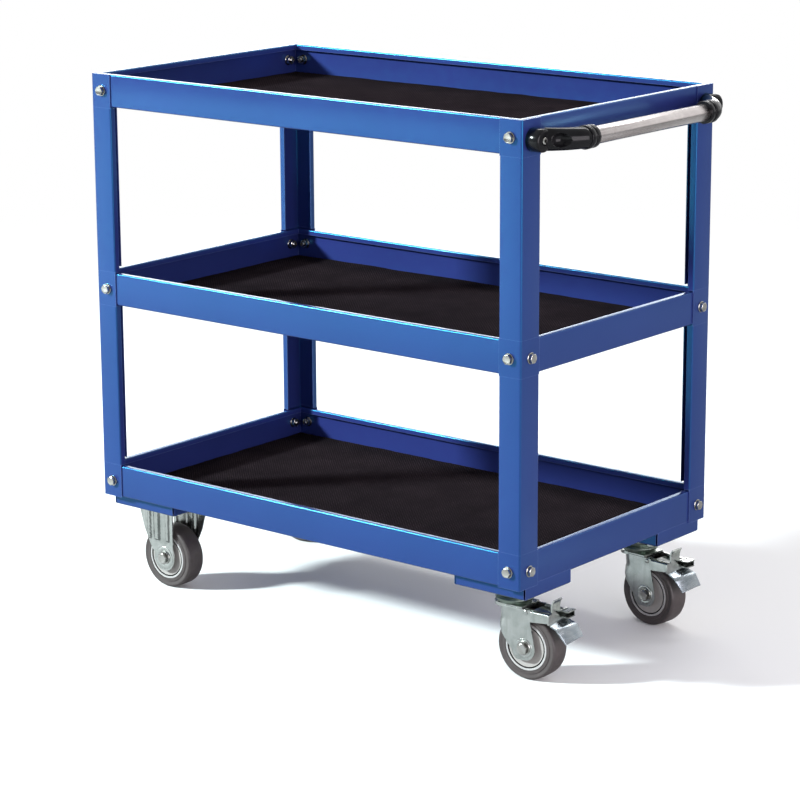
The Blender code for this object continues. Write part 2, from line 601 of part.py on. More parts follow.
def make_top_plate(prefix, kingpin, finish):
    """Mounting plate, upper race and riveted kingpin, which the fork turns about."""
    plate_low = PLATE_TOP - PLATE_THICKNESS
    blank = boxes_mesh([((-PLATE_X / 2, -PLATE_Y / 2, plate_low), (PLATE_X / 2, PLATE_Y / 2, PLATE_TOP))])
    plate = add_object(f"{prefix}_top_plate", blank, finish, kingpin)
    rivet_top = CROWN_BOTTOM - GAP
    rings = [(plate_low + OVERLAP, RACE_RADIUS + RACE_LIP, RACE_SEGMENTS),
             (RACE_FACE + RACE_LIP, RACE_RADIUS + RACE_LIP, RACE_SEGMENTS),
             (RACE_FACE, RACE_RADIUS - RACE_CHAMFER, RACE_SEGMENTS),
             (RACE_FACE, KINGPIN_RADIUS, PIN_SEGMENTS),
             (rivet_top, KINGPIN_RADIUS, PIN_SEGMENTS),
             (rivet_top, KINGPIN_HEAD_RADIUS, PIN_SEGMENTS),
             (rivet_top - KINGPIN_HEAD, KINGPIN_HEAD_RADIUS, PIN_SEGMENTS)]
    boolean(plate, add_object(f"{prefix}_race", upright_stack(rings), None, kingpin), "UNION")


def make_swivel_fork(prefix, turning, finish):
    eye = arc((TRAIL, WHEEL_RADIUS), SWIVEL_EYE_RADIUS, 215, 360, 7)
    outline = SWIVEL_BACK_EDGE + eye + SWIVEL_FRONT_EDGE
    fork, far_plate = fork_plates(outline, outline, turning, f"{prefix}_fork", finish)
    inner = FORK_OUTER_Y - CROWN_INSET
    centre = (CROWN_CENTRE_X, 0.0)
    round_end = arc(centre, inner, 90, 270, 11)
    crown = prism_mesh(round_end + [(CROWN_END, -inner), (CROWN_END, inner)], "Z", CROWN_BOTTOM, CROWN_TOP)
    inside = arc(centre, inner - FORK_SHEET, 270, 90, 11)
    skirt = prism_mesh(round_end + inside, "Z", SKIRT_FOOT, CROWN_BOTTOM + OVERLAP)
    race_top = RACE_FACE - GAP
    race = upright_stack([(race_top, RACE_RADIUS - RACE_LIP, RACE_SEGMENTS),
                          (race_top - LOWER_RACE, RACE_RADIUS, RACE_SEGMENTS),
                          (CROWN_TOP - OVERLAP, LOWER_RACE_FOOT, RACE_SEGMENTS)])
    pin_x, pin_z = BRAKE_PIN
    pin_end = FORK_OUTER_Y + BRAKE_PIN_STAND
    pin = rod_mesh(BRAKE_PIN_RADIUS, -pin_end, pin_end, AXLE_SIDES)
    bmesh.ops.translate(pin, vec=(pin_x, 0, pin_z), verts=pin.verts)
    joined = [far_plate]
    for label, mesh in (("crown", crown), ("skirt", skirt), ("lower_race", race), ("brake_pin", pin)):
        joined.append(add_object(f"{prefix}_{label}", mesh, None, turning))
    for piece in joined:
        boolean(fork, piece, "UNION")
    bore = rod_mesh(BORE_RADIUS, -BORE_REACH, BORE_REACH, AXLE_SIDES)
    bmesh.ops.translate(bore, vec=(TRAIL, 0, WHEEL_RADIUS), verts=bore.verts)
    boolean(fork, add_object(f"{prefix}_bore", bore, None, turning), "DIFFERENCE")
    king_bore = upright_stack([(height, KINGPIN_RADIUS + GAP, PIN_SEGMENTS) for height in KING_BORE])
    boolean(fork, add_object(f"{prefix}_king_bore", king_bore, None, turning), "DIFFERENCE")


def make_brake(prefix, turning, finish):
    """Pedal, end plate, release tab and shoe in one pressing that rocks on the fork's pin."""
    pin_x, pin_z = BRAKE_PIN
    pivot = empty(f"brake_{prefix}", (pin_x, 0, pin_z), 0.0, turning)
    web_half = BRAKE_HALF - WEB_INSET
    cheek = arc(BRAKE_PIN, CHEEK_RADIUS, 90, 250, 6) + CHEEK_END

    def pressed(outline, low, high):
        return prism_mesh([(x - pin_x, z - pin_z) for x, z in outline], "Y", low, high)

    brake = add_object(f"{prefix}_brake_pedal", pressed(WEB_OUTLINE, -web_half, web_half), finish, pivot)
    shapes = {"face": (FACE_OUTLINE, -FACE_HALF, FACE_HALF),
              "tab": (TAB_OUTLINE, -TAB_HALF, TAB_HALF),
              "pedal": (PEDAL_OUTLINE, -PEDAL_HALF, PEDAL_HALF),
              "cheek_front": (cheek, -BRAKE_HALF, -BRAKE_HALF + BRAKE_SHEET),
              "cheek_rear": (cheek, BRAKE_HALF - BRAKE_SHEET, BRAKE_HALF)}
    for label, shape in shapes.items():
        boolean(brake, add_object(f"{prefix}_brake_{label}", pressed(*shape), None, pivot), "UNION")
    clearance = rod_mesh(BRAKE_PIN_RADIUS + GAP, -BORE_REACH, BORE_REACH, AXLE_SIDES)
    boolean(brake, add_object(f"{prefix}_pin_clearance", clearance, None, pivot), "DIFFERENCE")


def main():
    clear_scene()
    blue = material("blue_powder_coat", (0.035, 0.150, 0.440), 0.38, 0.0)
    rubber_mat = material("black_ribbed_mat", (0.016, 0.015, 0.017), 0.75, 0.0)
    bolt_zinc = material("bright_zinc", (0.78, 0.80, 0.79), 0.28, 1.0)
    finishes = {
        "zinc": material("zinc_pressing", (0.66, 0.69, 0.67), 0.34, 1.0),
        "pedal": material("blue_zinc_pedal", (0.50, 0.56, 0.60), 0.36, 1.0),
        "tyre": material("grey_rubber_tyre", (0.130, 0.120, 0.122), 0.60, 0.0),
        "hub": material("grey_plastic_hub", (0.42, 0.40, 0.39), 0.45, 0.0),
    }
    steel = material("satin_stainless_tube", (0.62, 0.59, 0.55), 0.30, 1.0)
    black = material("black_plastic_elbow", (0.012, 0.012, 0.013), 0.30, 0.0)
    cart = empty("cart", (-CENTRE_X, 0, 0))
    make_uprights(cart, blue)
    make_trays(cart, blue, rubber_mat)
    make_tray_bolts(cart, bolt_zinc)
    make_handle(cart, steel, black)
    make_caster_brackets(cart, blue)
    for side, sy in (("front", -1), ("rear", 1)):
        make_fixed_caster(side, sy, cart, finishes)
        make_swivel_caster(side, sy, cart, finishes)


main()
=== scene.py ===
"""Looks of the three-tier tool cart: folded blue sheet, woven black mats, zinc casters, push handle."""
from math import cos, pi, radians, sin, sqrt, tau

import bmesh
import bpy
from mathutils import Matrix, Vector, noise


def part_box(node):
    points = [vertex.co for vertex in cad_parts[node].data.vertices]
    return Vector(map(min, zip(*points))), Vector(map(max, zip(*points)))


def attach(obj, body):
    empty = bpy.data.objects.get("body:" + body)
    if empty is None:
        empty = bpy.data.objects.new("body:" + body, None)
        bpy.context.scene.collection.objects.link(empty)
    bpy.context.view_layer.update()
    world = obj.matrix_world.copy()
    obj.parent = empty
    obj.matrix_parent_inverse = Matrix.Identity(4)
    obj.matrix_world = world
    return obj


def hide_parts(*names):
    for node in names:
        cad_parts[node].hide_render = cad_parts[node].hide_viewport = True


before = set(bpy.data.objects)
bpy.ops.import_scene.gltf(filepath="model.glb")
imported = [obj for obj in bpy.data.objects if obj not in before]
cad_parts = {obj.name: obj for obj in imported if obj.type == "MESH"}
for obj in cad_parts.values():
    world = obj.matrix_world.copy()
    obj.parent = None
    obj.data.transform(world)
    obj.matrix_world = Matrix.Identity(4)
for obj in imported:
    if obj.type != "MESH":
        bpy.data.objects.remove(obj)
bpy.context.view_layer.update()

SIDES = (("front", -1), ("rear", 1))
ENDS = (("left", -1), ("right", 1))
LEVELS = ("bottom", "middle", "top")
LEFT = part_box("upright_front_left")
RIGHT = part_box("upright_rear_right")
CENTRE_X = (LEFT[0][0] + RIGHT[1][0]) / 2
LENGTH = RIGHT[1][0] - LEFT[0][0]
WIDTH = RIGHT[1][1] - LEFT[0][1]
FOOT = LEFT[0][2]
TOP = LEFT[1][2]
TRAY = {level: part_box(f"tray_{level}") for level in LEVELS}
LEG_X = 0.0385
LEG_Y = 0.0435
LIP = 0.010
LIP_END_GAP = 0.002
UPRIGHT_SHEET = 0.0015
UPRIGHT_BEND = 0.0028
LIP_BEND = 0.0022
TRAY_SHEET = 0.0012
FLOOR_BEND = 0.0022
RIM_BEND = 0.0020
RIM_WIDTH = 0.010
RIM_LIP = 0.0085
GAP = 0.0003
WELD = 0.00001
CHAMFER_SLOPE = 0.55
SHANK = 0.0039
WASHER = 0.0016
WASHER_RADIUS = 0.0084
WHEEL_RADIUS = 0.050
CASTER_Y = 0.160
FIXED_X = -0.337 + CENTRE_X
KINGPIN_X = 0.346 + CENTRE_X
TRAIL = 0.031
SWIVEL_ANGLE = {"front": radians(2.4), "rear": radians(-6.0)}
FORK_Y = 0.0230
FORK_SHEET = 0.0025
FORK_TOP = 0.1084
BRAKE_PIN = (0.034, 0.1046)
PLATE_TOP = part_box("front_right_top_plate")[1][2]
PLATE_FOOT = PLATE_TOP - 0.003
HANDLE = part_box("handle_tube")
TUBE_RADIUS = 0.0125
TUBE_BORE = 0.0113
ELBOW_Y = 0.215
BEVEL_FROM = radians(40)


# ---------------------------------------------------------------- materials

def material(name, colour, roughness=0.4, metallic=0.0, **sockets):
    made = bpy.data.materials.new(name)
    made.use_nodes = True
    shader = made.node_tree.nodes["Principled BSDF"]
    shader.inputs["Base Color"].default_value = (*colour, 1)
    shader.inputs["Roughness"].default_value = roughness
    shader.inputs["Metallic"].default_value = metallic
    for socket, value in sockets.items():
        shader.inputs[socket.replace("_", " ")].default_value = value
    made.diffuse_color = (*colour, 1)
    return made


def scaled(colour, gain, most=1.0):
    """A colour made lighter or darker, held under a limit."""
    return tuple(min(c * gain, most) for c in colour)


class Graph:
    """Small helper for building the nodes of a material, or of the world, which has no shader to finish."""

    def __init__(self, made):
        self.tree = made.node_tree
        self.shader = self.tree.nodes.get("Principled BSDF")
        self.place = self.node("ShaderNodeTexCoord")
        self.coords = self.place.outputs["Object"]

    def node(self, kind, **settings):
        made = self.tree.nodes.new(kind)
        for key, value in settings.items():
            setattr(made, key, value)
        return made

    def link(self, output, target):
        self.tree.links.new(output, target)

    def stretched(self, scale):
        mapping = self.node("ShaderNodeMapping")
        mapping.inputs["Scale"].default_value = scale
        self.link(self.coords, mapping.inputs["Vector"])
        return mapping.outputs[0]

    def noise(self, scale, detail=4.0, rough=0.55, vector=None, distortion=0.0):
        made = self.node("ShaderNodeTexNoise")
        made.inputs["Scale"].default_value = scale
        made.inputs["Detail"].default_value = detail
        made.inputs["Roughness"].default_value = rough
        made.inputs["Distortion"].default_value = distortion
        self.link(vector or self.coords, made.inputs["Vector"])
        return made.outputs["Fac"]

    def span(self, value, low, high, to_low, to_high):
        made = self.node("ShaderNodeMapRange")
        for key, number in (("From Min", low), ("From Max", high), ("To Min", to_low), ("To Max", to_high)):
            made.inputs[key].default_value = number
        self.link(value, made.inputs["Value"])
        return made.outputs["Result"]

    def math(self, operation, a, b):
        made = self.node("ShaderNodeMath", operation=operation)
        for socket, value in zip(made.inputs, (a, b)):
            if isinstance(value, (int, float)):
                socket.default_value = value
            else:
                self.link(value, socket)
        return made.outputs[0]

    def mix(self, factor, a, b):
        made = self.node("ShaderNodeMix", data_type="RGBA")
        self.link(factor, made.inputs["Factor"])
        for socket, value in ((made.inputs[6], a), (made.inputs[7], b)):
            if isinstance(value, tuple):
                socket.default_value = (*value, 1)
            else:
                self.link(value, socket)
        return made.outputs[2]

    def edge_wear_and_highlight(self, radius=0.0012, low=0.04, high=0.30):
        """Edge mask for rubbed edges and painted highlights: 1 close to edges, 0 on flats."""
        eased = self.node("ShaderNodeBevel", samples=4)
        eased.inputs["Radius"].default_value = radius
        dot = self.node("ShaderNodeVectorMath", operation="DOT_PRODUCT")
        self.link(eased.outputs[0], dot.inputs[0])
        self.link(self.node("ShaderNodeNewGeometry").outputs["Normal"], dot.inputs[1])
        return self.span(self.math("SUBTRACT", 1.0, dot.outputs["Value"]), low, high, 0, 1)

    def painted_crease_shade(self, distance, dark):
        """Painted shade mask: 1 in the open, falling to a lower value in creases of the same piece, where
        shade falls.
        """
        made = self.node("ShaderNodeAmbientOcclusion", samples=6, only_local=True)
        made.inputs["Distance"].default_value = distance
        return self.span(made.outputs["AO"], 0.35, 0.95, dark, 1.0)

    def bump(self, height, strength, distance, after=None):
        made = self.node("ShaderNodeBump")
        made.inputs["Strength"].default_value = strength
        made.inputs["Distance"].default_value = distance
        self.link(height, made.inputs["Height"])
        if after:
            self.link(after, made.inputs["Normal"])
        return made.outputs[0]

    def finish(self, colour=None, roughness=None, normal=None):
        for socket, value in (("Base Color", colour), ("Roughness", roughness), ("Normal", normal)):
            if value is not None:
                self.link(value, self.shader.inputs[socket])


def powder_coat(name, deep, light):
    """Smooth powder coat: faint clouds and grime, fine orange peel, paler edges that are partly rubbed paint
    and partly a painted highlight.
    """
    made = material(name, deep, 0.36, IOR=1.95, Specular_Tint=(0.0, 0.54, 1.0, 1.0),
                    Coat_Weight=0.05, Coat_Roughness=0.10)
    g = Graph(made)
    cloud = g.span(g.noise(5.0, detail=3.0), 0.35, 0.65, 0, 1)
    colour = g.mix(cloud, deep, scaled(deep, 1.10))
    grime = g.span(g.noise(38.0, detail=6.0, rough=0.7), 0.62, 0.80, 0, 0.35)
    colour = g.mix(grime, colour, scaled(deep, 0.80))
    # Paler edges: partly rubbed paint, partly a painted highlight along the sheet's edges.
    colour = g.mix(g.math("MULTIPLY", g.edge_wear_and_highlight(), 0.45), colour, light)
    peel = g.noise(620.0, detail=2.0, rough=0.5)
    normal = g.bump(peel, 0.10, 0.0004, g.bump(g.noise(2600.0, detail=1.0), 0.05, 0.0002))
    roughness = g.span(g.noise(60.0, detail=5.0), 0.3, 0.7, 0.20, 0.26)
    g.finish(colour, roughness, normal)
    return made


def plated(name, base, tint, low_rough, high_rough, streak=(1, 1, 1), bump=0.06):
    """Zinc plate or satin steel: cloudy tint, streaks along the stretched axis, brighter edges that are
    partly a painted highlight, and painted shade in creases.
    """
    made = material(name, base, low_rough, 1.0)
    g = Graph(made)
    along = g.stretched(streak)
    cloud = g.noise(55.0, detail=4.0, rough=0.6, distortion=0.6)
    colour = g.mix(g.span(cloud, 0.38, 0.66, 0, 1), base, tint)
    streaks = g.noise(420.0, detail=3.0, rough=0.6, vector=along)
    colour = g.mix(g.span(streaks, 0.45, 0.75, 0, 0.35), colour, scaled(base, 0.72))
    broad = g.noise(110.0, detail=2.0, rough=0.5, vector=along)
    colour = g.mix(g.span(broad, 0.50, 0.72, 0, 0.45), colour, scaled(base, 0.50))
    # Brighter edges: partly rubbed plating, partly a painted highlight on crests.
    colour = g.mix(g.math("MULTIPLY", g.edge_wear_and_highlight(), 0.5), colour, scaled(base, 1.25, most=0.95))
    # Painted shade: creases and the feet of ribs darken towards a dim copy of the base, as ambient occlusion
    # would.
    colour = g.mix(g.painted_crease_shade(0.006, 0.0), scaled(base, 0.16), colour)
    satin = g.noise(150.0, detail=5.0, rough=0.65, vector=along)
    roughness = g.span(satin, 0.35, 0.7, low_rough, high_rough)
    normal = g.bump(streaks, bump, 0.0002, g.bump(g.noise(900.0, detail=2.0), 0.05, 0.0002))
    g.finish(colour, roughness, normal)
    return made


def moulded(name, base, roughness, speck=0.25, grain=1500.0, bump=0.05, **sockets):
    """Plastic or rubber: fine grain, faint mottling, scuffed edges."""
    made = material(name, base, roughness, **sockets)
    g = Graph(made)
    mottle = g.span(g.noise(70.0, detail=5.0, rough=0.65), 0.35, 0.7, 0, 1)
    colour = g.mix(mottle, base, scaled(base, 1 + speck))
    scuffed = tuple(min(c * 1.6 + 0.01, 1) for c in base)
    colour = g.mix(g.math("MULTIPLY", g.edge_wear_and_highlight(), 0.4), colour, scuffed)
    low_rough, high_rough = roughness * 0.82, min(roughness * 1.18, 1.0)
    rough = g.span(g.noise(190.0, detail=4.0), 0.3, 0.7, low_rough, high_rough)
    g.finish(colour, rough, g.bump(g.noise(grain, detail=2.0), bump, 0.0003))
    return made


def woven_mat(name):
    """Anti-slip mat: a fine grid of raised knots, with paler dust on the knots."""
    made = material(name, (0.010, 0.009, 0.0095), 0.72, Specular_IOR_Level=0.0)
    g = Graph(made)
    bands = []
    for axis in "XY":
        wave = g.node("ShaderNodeTexWave", wave_type="BANDS", bands_direction=axis)
        for socket, value in (("Scale", 62.0), ("Distortion", 0.8), ("Detail", 1.0), ("Detail Scale", 2.0)):
            wave.inputs[socket].default_value = value
        g.link(g.coords, wave.inputs["Vector"])
        bands.append(wave.outputs["Fac"])
    height = g.math("MULTIPLY", *bands)
    fibre = g.noise(1800.0, detail=3.0, rough=0.7)
    patches = g.span(g.noise(14.0, detail=5.0, rough=0.7), 0.35, 0.7, 0.25, 1.0)
    dust = g.math("MULTIPLY", g.span(height, 0.25, 0.8, 0, 1), patches)
    colour = g.mix(dust, (0.0098, 0.0076, 0.0092), (0.068, 0.049, 0.057))
    normal = g.bump(height, 0.75, 0.0012, g.bump(fibre, 0.35, 0.0004))
    g.finish(colour, g.span(fibre, 0.3, 0.7, 0.62, 0.88), normal)
    return made


BLUE = powder_coat("blue_powder_coat", (0.021, 0.0288, 0.145), (0.28, 0.34, 0.70))
MAT = woven_mat("woven_black_mat")
ZINC = plated("zinc_pressing", (0.66, 0.68, 0.66), (0.50, 0.53, 0.51), 0.14, 0.27, (1, 1, 0.08))
BOLT = plated("bright_zinc_bolt", (0.68, 0.67, 0.65), (0.50, 0.49, 0.45), 0.14, 0.28, bump=0.03)
PEDAL = plated("blue_zinc_pedal", (0.52, 0.57, 0.61), (0.36, 0.42, 0.47), 0.20, 0.34, (1, 0.1, 1))
RACE = plated("race_zinc", (0.34, 0.40, 0.35), (0.20, 0.26, 0.22), 0.26, 0.44)
# A darker copy of the pressing's zinc: painted shade for the falling sides of the fixed fork's ribs.
ZINC_PAINTED_SHADE = plated("zinc_pressing_painted_shade", (0.30, 0.31, 0.30), (0.20, 0.22, 0.21), 0.16, 0.28,
                    (1, 1, 0.08))
STAINLESS = plated("satin_stainless_tube", (0.70, 0.65, 0.64), (0.62, 0.57, 0.56), 0.18, 0.34,
                   (1, 0.03, 1), bump=0.10)
ELBOW = moulded("glossy_black_elbow", (0.006, 0.006, 0.007), 0.16, speck=0.4, grain=900.0, bump=0.02,
                Specular_IOR_Level=0.2)
TYRE = moulded("grey_rubber_tyre", (0.060, 0.050, 0.050), 0.42, speck=0.30, grain=1100.0, bump=0.10)
RING = moulded("pale_wheel_ring", (0.40, 0.39, 0.39), 0.30, speck=0.10)
HUB = moulded("grey_wheel_disc", (0.34, 0.32, 0.31), 0.36, speck=0.12)
# Near-black paint for the wheel's narrow groove: painted shade inside the recess.
GROOVE_PAINTED_SHADE = moulded("groove_painted_shade", (0.008, 0.008, 0.008), 0.5)


# ---------------------------------------------------------------- mesh helpers

def add(name, bm, finish, body, nodes=(), smooth=35, bevel=0.0):
    """A piece in the row frame that rides on a body and stands for CAD nodes."""
    bmesh.ops.recalc_face_normals(bm, faces=bm.faces)
    mesh = bpy.data.meshes.new(name)
    bm.to_mesh(mesh)
    bm.free()
    mesh.shade_smooth()
    mesh.set_sharp_from_angle(angle=radians(smooth))
    for made in finish if isinstance(finish, list) else [finish]:
        mesh.materials.append(made)
    piece = bpy.data.objects.new(name, mesh)
    bpy.context.collection.objects.link(piece)
    if bevel:
        step = piece.modifiers.new("soft_edges", "BEVEL")
        step.width = bevel
        step.segments = 2
        step.limit_method = "ANGLE"
        step.angle_limit = BEVEL_FROM
        step.harden_normals = True
    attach(piece, body)
    if nodes:
        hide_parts(*nodes)
    return piece


def rounded(points, radii, steps):
    """A polyline whose inner corners are rounded with arcs."""
    line = [Vector(points[0])]
    for i in range(1, len(points) - 1):
        here = Vector(points[i])
        back = (Vector(points[i - 1]) - here).normalized()
        on = (Vector(points[i + 1]) - here).normalized()
        half = back.angle(on) / 2
        cut = radii[i - 1] / max(sin(half) / cos(half), 1e-6)
        a, b = here + back * cut, here + on * cut
        centre = here + (back + on).normalized() * (radii[i - 1] / sin(half))
        for k in range(steps + 1):
            point = a.lerp(b, k / steps)
            line.append(centre + (point - centre).normalized() * radii[i - 1])
    line.append(Vector(points[-1]))
    return line


def offset_right(line, distance):
    """The polyline moved sideways, to the right of its direction."""
    moved = []
    for i, point in enumerate(line):
        sides = []
        for a, b in ((i - 1, i), (i, i + 1)):
            if 0 <= a and b < len(line) and (line[b] - line[a]).length > 1e-9:
                d = (line[b] - line[a]).normalized()
                sides.append(Vector((d.y, -d.x)))
        side = sum(sides, Vector((0, 0))).normalized()
        moved.append(point + side * (distance / max(side.dot(sides[0]), 0.3)))
    return moved


def sheet_outline(points, radii, thickness, steps=5):
    """The closed outline of a folded sheet whose outer side follows a line with rounded bends."""
    line = rounded(points, radii, steps)
    return line + offset_right(line, thickness)[::-1]


def skin(bm, rings, caps=True, skip=None):
    """Joins closed rings of equal size into a surface; skip leaves out one strip along it."""
    made = [[bm.verts.new(p) for p in ring] for ring in rings]
    size = len(made[0])
    for a, b in zip(made, made[1:]):
        for i in range(size):
            if i == skip:
                continue
            j = (i + 1) % size
            bm.faces.new((a[i], a[j], b[j], b[i]))
    if caps:
        bm.faces.new(made[0])
        bm.faces.new(made[-1][::-1])
    return made


def bar(bm, outline, place, low, high, caps=True, skip=None):
    """An outline extruded from low to high, where place(point, end, t) gives the point in space."""
    skin(bm, [[place(p, -1, low) for p in outline], [place(p, 1, high) for p in outline]], caps, skip=skip)


def box_outline(x0, y0, x1, y1, radius, steps=3):
    """A rectangle with rounded corners."""
    points = []
    for cx, cy, start in ((x1 - radius, y1 - radius, 0), (x0 + radius, y1 - radius, 90),
                          (x0 + radius, y0 + radius, 180), (x1 - radius, y0 + radius, 270)):
        for k in range(steps + 1):
            turn = radians(start + 90 * k / steps)
            points.append(Vector((cx + radius * cos(turn), cy + radius * sin(turn))))
    return points


def hexagon(radius):
    """A radius that changes with the angle, so that a turned ring is six-sided."""
    return lambda turn: radius * cos(pi / 6) / cos((turn % (pi / 3)) - pi / 6)


def lathe(bm, rings, place, segments, closed_ring=False, indices=None):
    """Rings (distance, radius) round an axis; place(distance, across, up) gives the point in space."""
    made = []
    for distance, radius in rings:
        ring = []
        for i in range(segments):
            turn = tau * i / segments
            r = radius(turn) if callable(radius) else radius
            d = distance(turn) if callable(distance) else distance
            ring.append(bm.verts.new(place(d, r * cos(turn), r * sin(turn))))
        made.append(ring)
    pairs = list(zip(made, made[1:]))
    if closed_ring:
        pairs.append((made[-1], made[0]))
    for k, (a, b) in enumerate(pairs):
        for i in range(segments):
            j = (i + 1) % segments
            bm.faces.new((a[i], a[j], b[j], b[i])).material_index = indices[k] if indices else 0
    if not closed_ring:
        bm.faces.new(made[0]).material_index = indices[0] if indices else 0
        bm.faces.new(made[-1][::-1]).material_index = indices[-1] if indices else 0


def soft(profile, radius, steps=2):
    """A turned profile, points (distance, radius), with its corners eased."""
    line = rounded(profile, [radius] * (len(profile) - 2), steps)
    return [(p.x, p.y) for p in line]


def hex_head(start, height, radius, crown):
    """Rings of a hexagon head or nut whose far end is chamfered to a circle."""
    edge = hexagon(radius)
    step = 1 if height > 0 else -1

    def chamfer(turn):
        return start + height - step * max(edge(turn) - crown, 0) * CHAMFER_SLOPE
    return [(start, edge), (chamfer, edge), (start + height, crown)]


# ---------------------------------------------------------------- uprights and trays

def corner_place(sx, sy):
    """Distances in from an upright's two outer faces, and a height, to a point in space."""
    def place(point, end, height):
        return Vector((CENTRE_X + sx * (LENGTH / 2 - point[0]), sy * (WIDTH / 2 - point[1]), height))
    return place


def make_uprights():
    """Angles that are plain behind the trays and have return lips between them."""
    plain = sheet_outline([(LEG_X, 0), (0, 0), (0, LEG_Y)], [UPRIGHT_BEND], UPRIGHT_SHEET)
    lipped = sheet_outline([(LEG_X, LIP), (LEG_X, 0), (0, 0), (0, LEG_Y), (LIP, LEG_Y)],
                           [LIP_BEND, UPRIGHT_BEND, LIP_BEND], UPRIGHT_SHEET)
    heights = [FOOT]
    for below, above in zip(LEVELS, LEVELS[1:]):
        heights += [TRAY[below][1][2] + LIP_END_GAP, TRAY[above][0][2] - LIP_END_GAP]
    heights.append(TOP)
    for side, sy in SIDES:
        for end, sx in ENDS:
            bm = bmesh.new()
            for k, (low, high) in enumerate(zip(heights, heights[1:])):
                bar(bm, lipped if k % 2 else plain, corner_place(sx, sy), low, high)
            add(f"upright_{side}_{end}_folded", bm, BLUE, "frame", [f"upright_{side}_{end}"])


def tray_place(axis, sign, half_x, half_y):
    """Places a wall's profile, (inward distance, height), with ends mitred at the tray's corners."""
    def place(point, end, reach):
        inward, height = point
        along = end * (reach - inward)
        if axis == "X":
            return Vector((CENTRE_X + along, sign * (half_y - inward), height))
        return Vector((CENTRE_X + sign * (half_x - inward), along, height))
    return place


def make_trays():
    """Pressed pans, each made of four mitred walls whose floors meet in the middle."""
    for level in LEVELS:
        low, high = TRAY[level]
        half_x, half_y = (high[0] - low[0]) / 2, (high[1] - low[1]) / 2
        foot, top = low[2], high[2]
        wall = [(half_y, foot), (0, foot), (0, top), (RIM_WIDTH, top), (RIM_WIDTH, top - RIM_LIP)]
        profile = sheet_outline(wall, [FLOOR_BEND, RIM_BEND, RIM_BEND], TRAY_SHEET)
        middle = len(profile) - 1
        bm = bmesh.new()
        for sign in (-1, 1):
            bar(bm, profile, tray_place("X", sign, half_x, half_y), half_x, half_x, False, middle)
            bar(bm, profile, tray_place("Y", sign, half_x, half_y), half_y, half_y, False, middle)
        bmesh.ops.remove_doubles(bm, verts=bm.verts, dist=WELD)
        add(f"tray_{level}_folded", bm, BLUE, "frame", [f"tray_{level}"])


def make_mats():
    """Mats cut by hand: slightly wavy edges that lift a little off the floor of the tray."""
    across, deep = 132, 76
    frayed_cells, lifted_share = 3, 1.3
    fray, least_lift, more_lift, swell = 0.0016, 0.0010, 0.0016, 0.00035
    for number, level in enumerate(LEVELS):
        low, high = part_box(f"mat_{level}")
        bm = bmesh.new()
        top_grid, low_grid = [], []
        for j in range(deep + 1):
            top_row, low_row = [], []
            for i in range(across + 1):
                x = low[0] + (high[0] - low[0]) * i / across
                y = low[1] + (high[1] - low[1]) * j / deep
                seed = Vector((x * 9, y * 9, number * 7.3))
                edge_x = min(i, across - i) / frayed_cells
                edge_y = min(j, deep - j) / frayed_cells
                ragged = fray * (noise.noise(seed * 3.1) + 0.5 * noise.noise(seed * 9.7)) + fray
                x += (1 if i < across / 2 else -1) * max(ragged, 0) * max(1 - edge_x, 0)
                y += (1 if j < deep / 2 else -1) * max(ragged, 0) * max(1 - edge_y, 0)
                near = max(1 - min(edge_x, edge_y) / lifted_share, 0)
                lift = near * max(least_lift + more_lift * noise.noise(seed * 2.0), 0)
                wave = max(swell * noise.noise(seed * 0.9), 0)
                top_row.append(bm.verts.new((x, y, high[2] - GAP + wave + lift * 0.6)))
                low_row.append(bm.verts.new((x, y, low[2] + lift * 0.55)))
            top_grid.append(top_row)
            low_grid.append(low_row)
        for j in range(deep):
            for i in range(across):
                bm.faces.new((top_grid[j][i], top_grid[j][i + 1], top_grid[j + 1][i + 1], top_grid[j + 1][i]))
                bm.faces.new((low_grid[j + 1][i], low_grid[j + 1][i + 1], low_grid[j][i + 1], low_grid[j][i]))
        border = [(0, i) for i in range(across)] + [(j, across) for j in range(deep)]
        border += [(deep, i) for i in range(across, 0, -1)] + [(j, 0) for j in range(deep, 0, -1)]
        for (j0, i0), (j1, i1) in zip(border, border[1:] + border[:1]):
            bm.faces.new((low_grid[j0][i0], low_grid[j1][i1], top_grid[j1][i1], top_grid[j0][i0]))
        mat = add(f"mat_{level}_woven", bm, MAT, "frame", [f"mat_{level}"], smooth=50)


def make_brackets():
    """Shallow folded boxes over the casters, with a slit beside each corner fold."""
    sheet, bend, slit, edge = 0.002, 0.0030, 0.0034, 0.020
    end_rise, overlap, plate_rise, plate_corner = 0.0035, 0.001, 0.0001, 0.0005
    for side, _ in SIDES:
        for end, sx in ENDS:
            node = f"caster_bracket_{side}_{end}"
            low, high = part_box(node)
            mid = ((low[0] + high[0]) / 2, (low[1] + high[1]) / 2)
            half = ((high[0] - low[0]) / 2, (high[1] - low[1]) / 2)
            bm = bmesh.new()
            for axis, sign in ((0, -1), (0, 1), (1, -1), (1, 1)):
                rise = end_rise if axis == 0 and sign == sx == 1 else 0.0
                fold = [(edge, low[2]), (0, low[2]), (0, high[2] + GAP + rise)]
                profile = sheet_outline(fold, [bend], sheet)
                relief = slit if axis else 0

                def place(point, far, t, axis=axis, sign=sign, relief=relief):
                    spot = [0, 0, point[1]]
                    spot[axis] = mid[axis] + sign * (half[axis] - point[0])
                    spot[1 - axis] = mid[1 - axis] + far * (half[1 - axis] - max(point[0], relief))
                    return Vector(spot)
                bar(bm, profile, place, 0, 0)
            x, y = (half[k] - edge + overlap for k in (0, 1))
            plate = box_outline(mid[0] - x, mid[1] - y, mid[0] + x, mid[1] + y, plate_corner, 1)
            skin(bm, [[Vector((p.x, p.y, z)) for p in plate] for z in (low[2] + plate_rise, low[2] + sheet)])
            add(f"{node}_folded", bm, BLUE, "frame", [node])


# ---------------------------------------------------------------- bolts

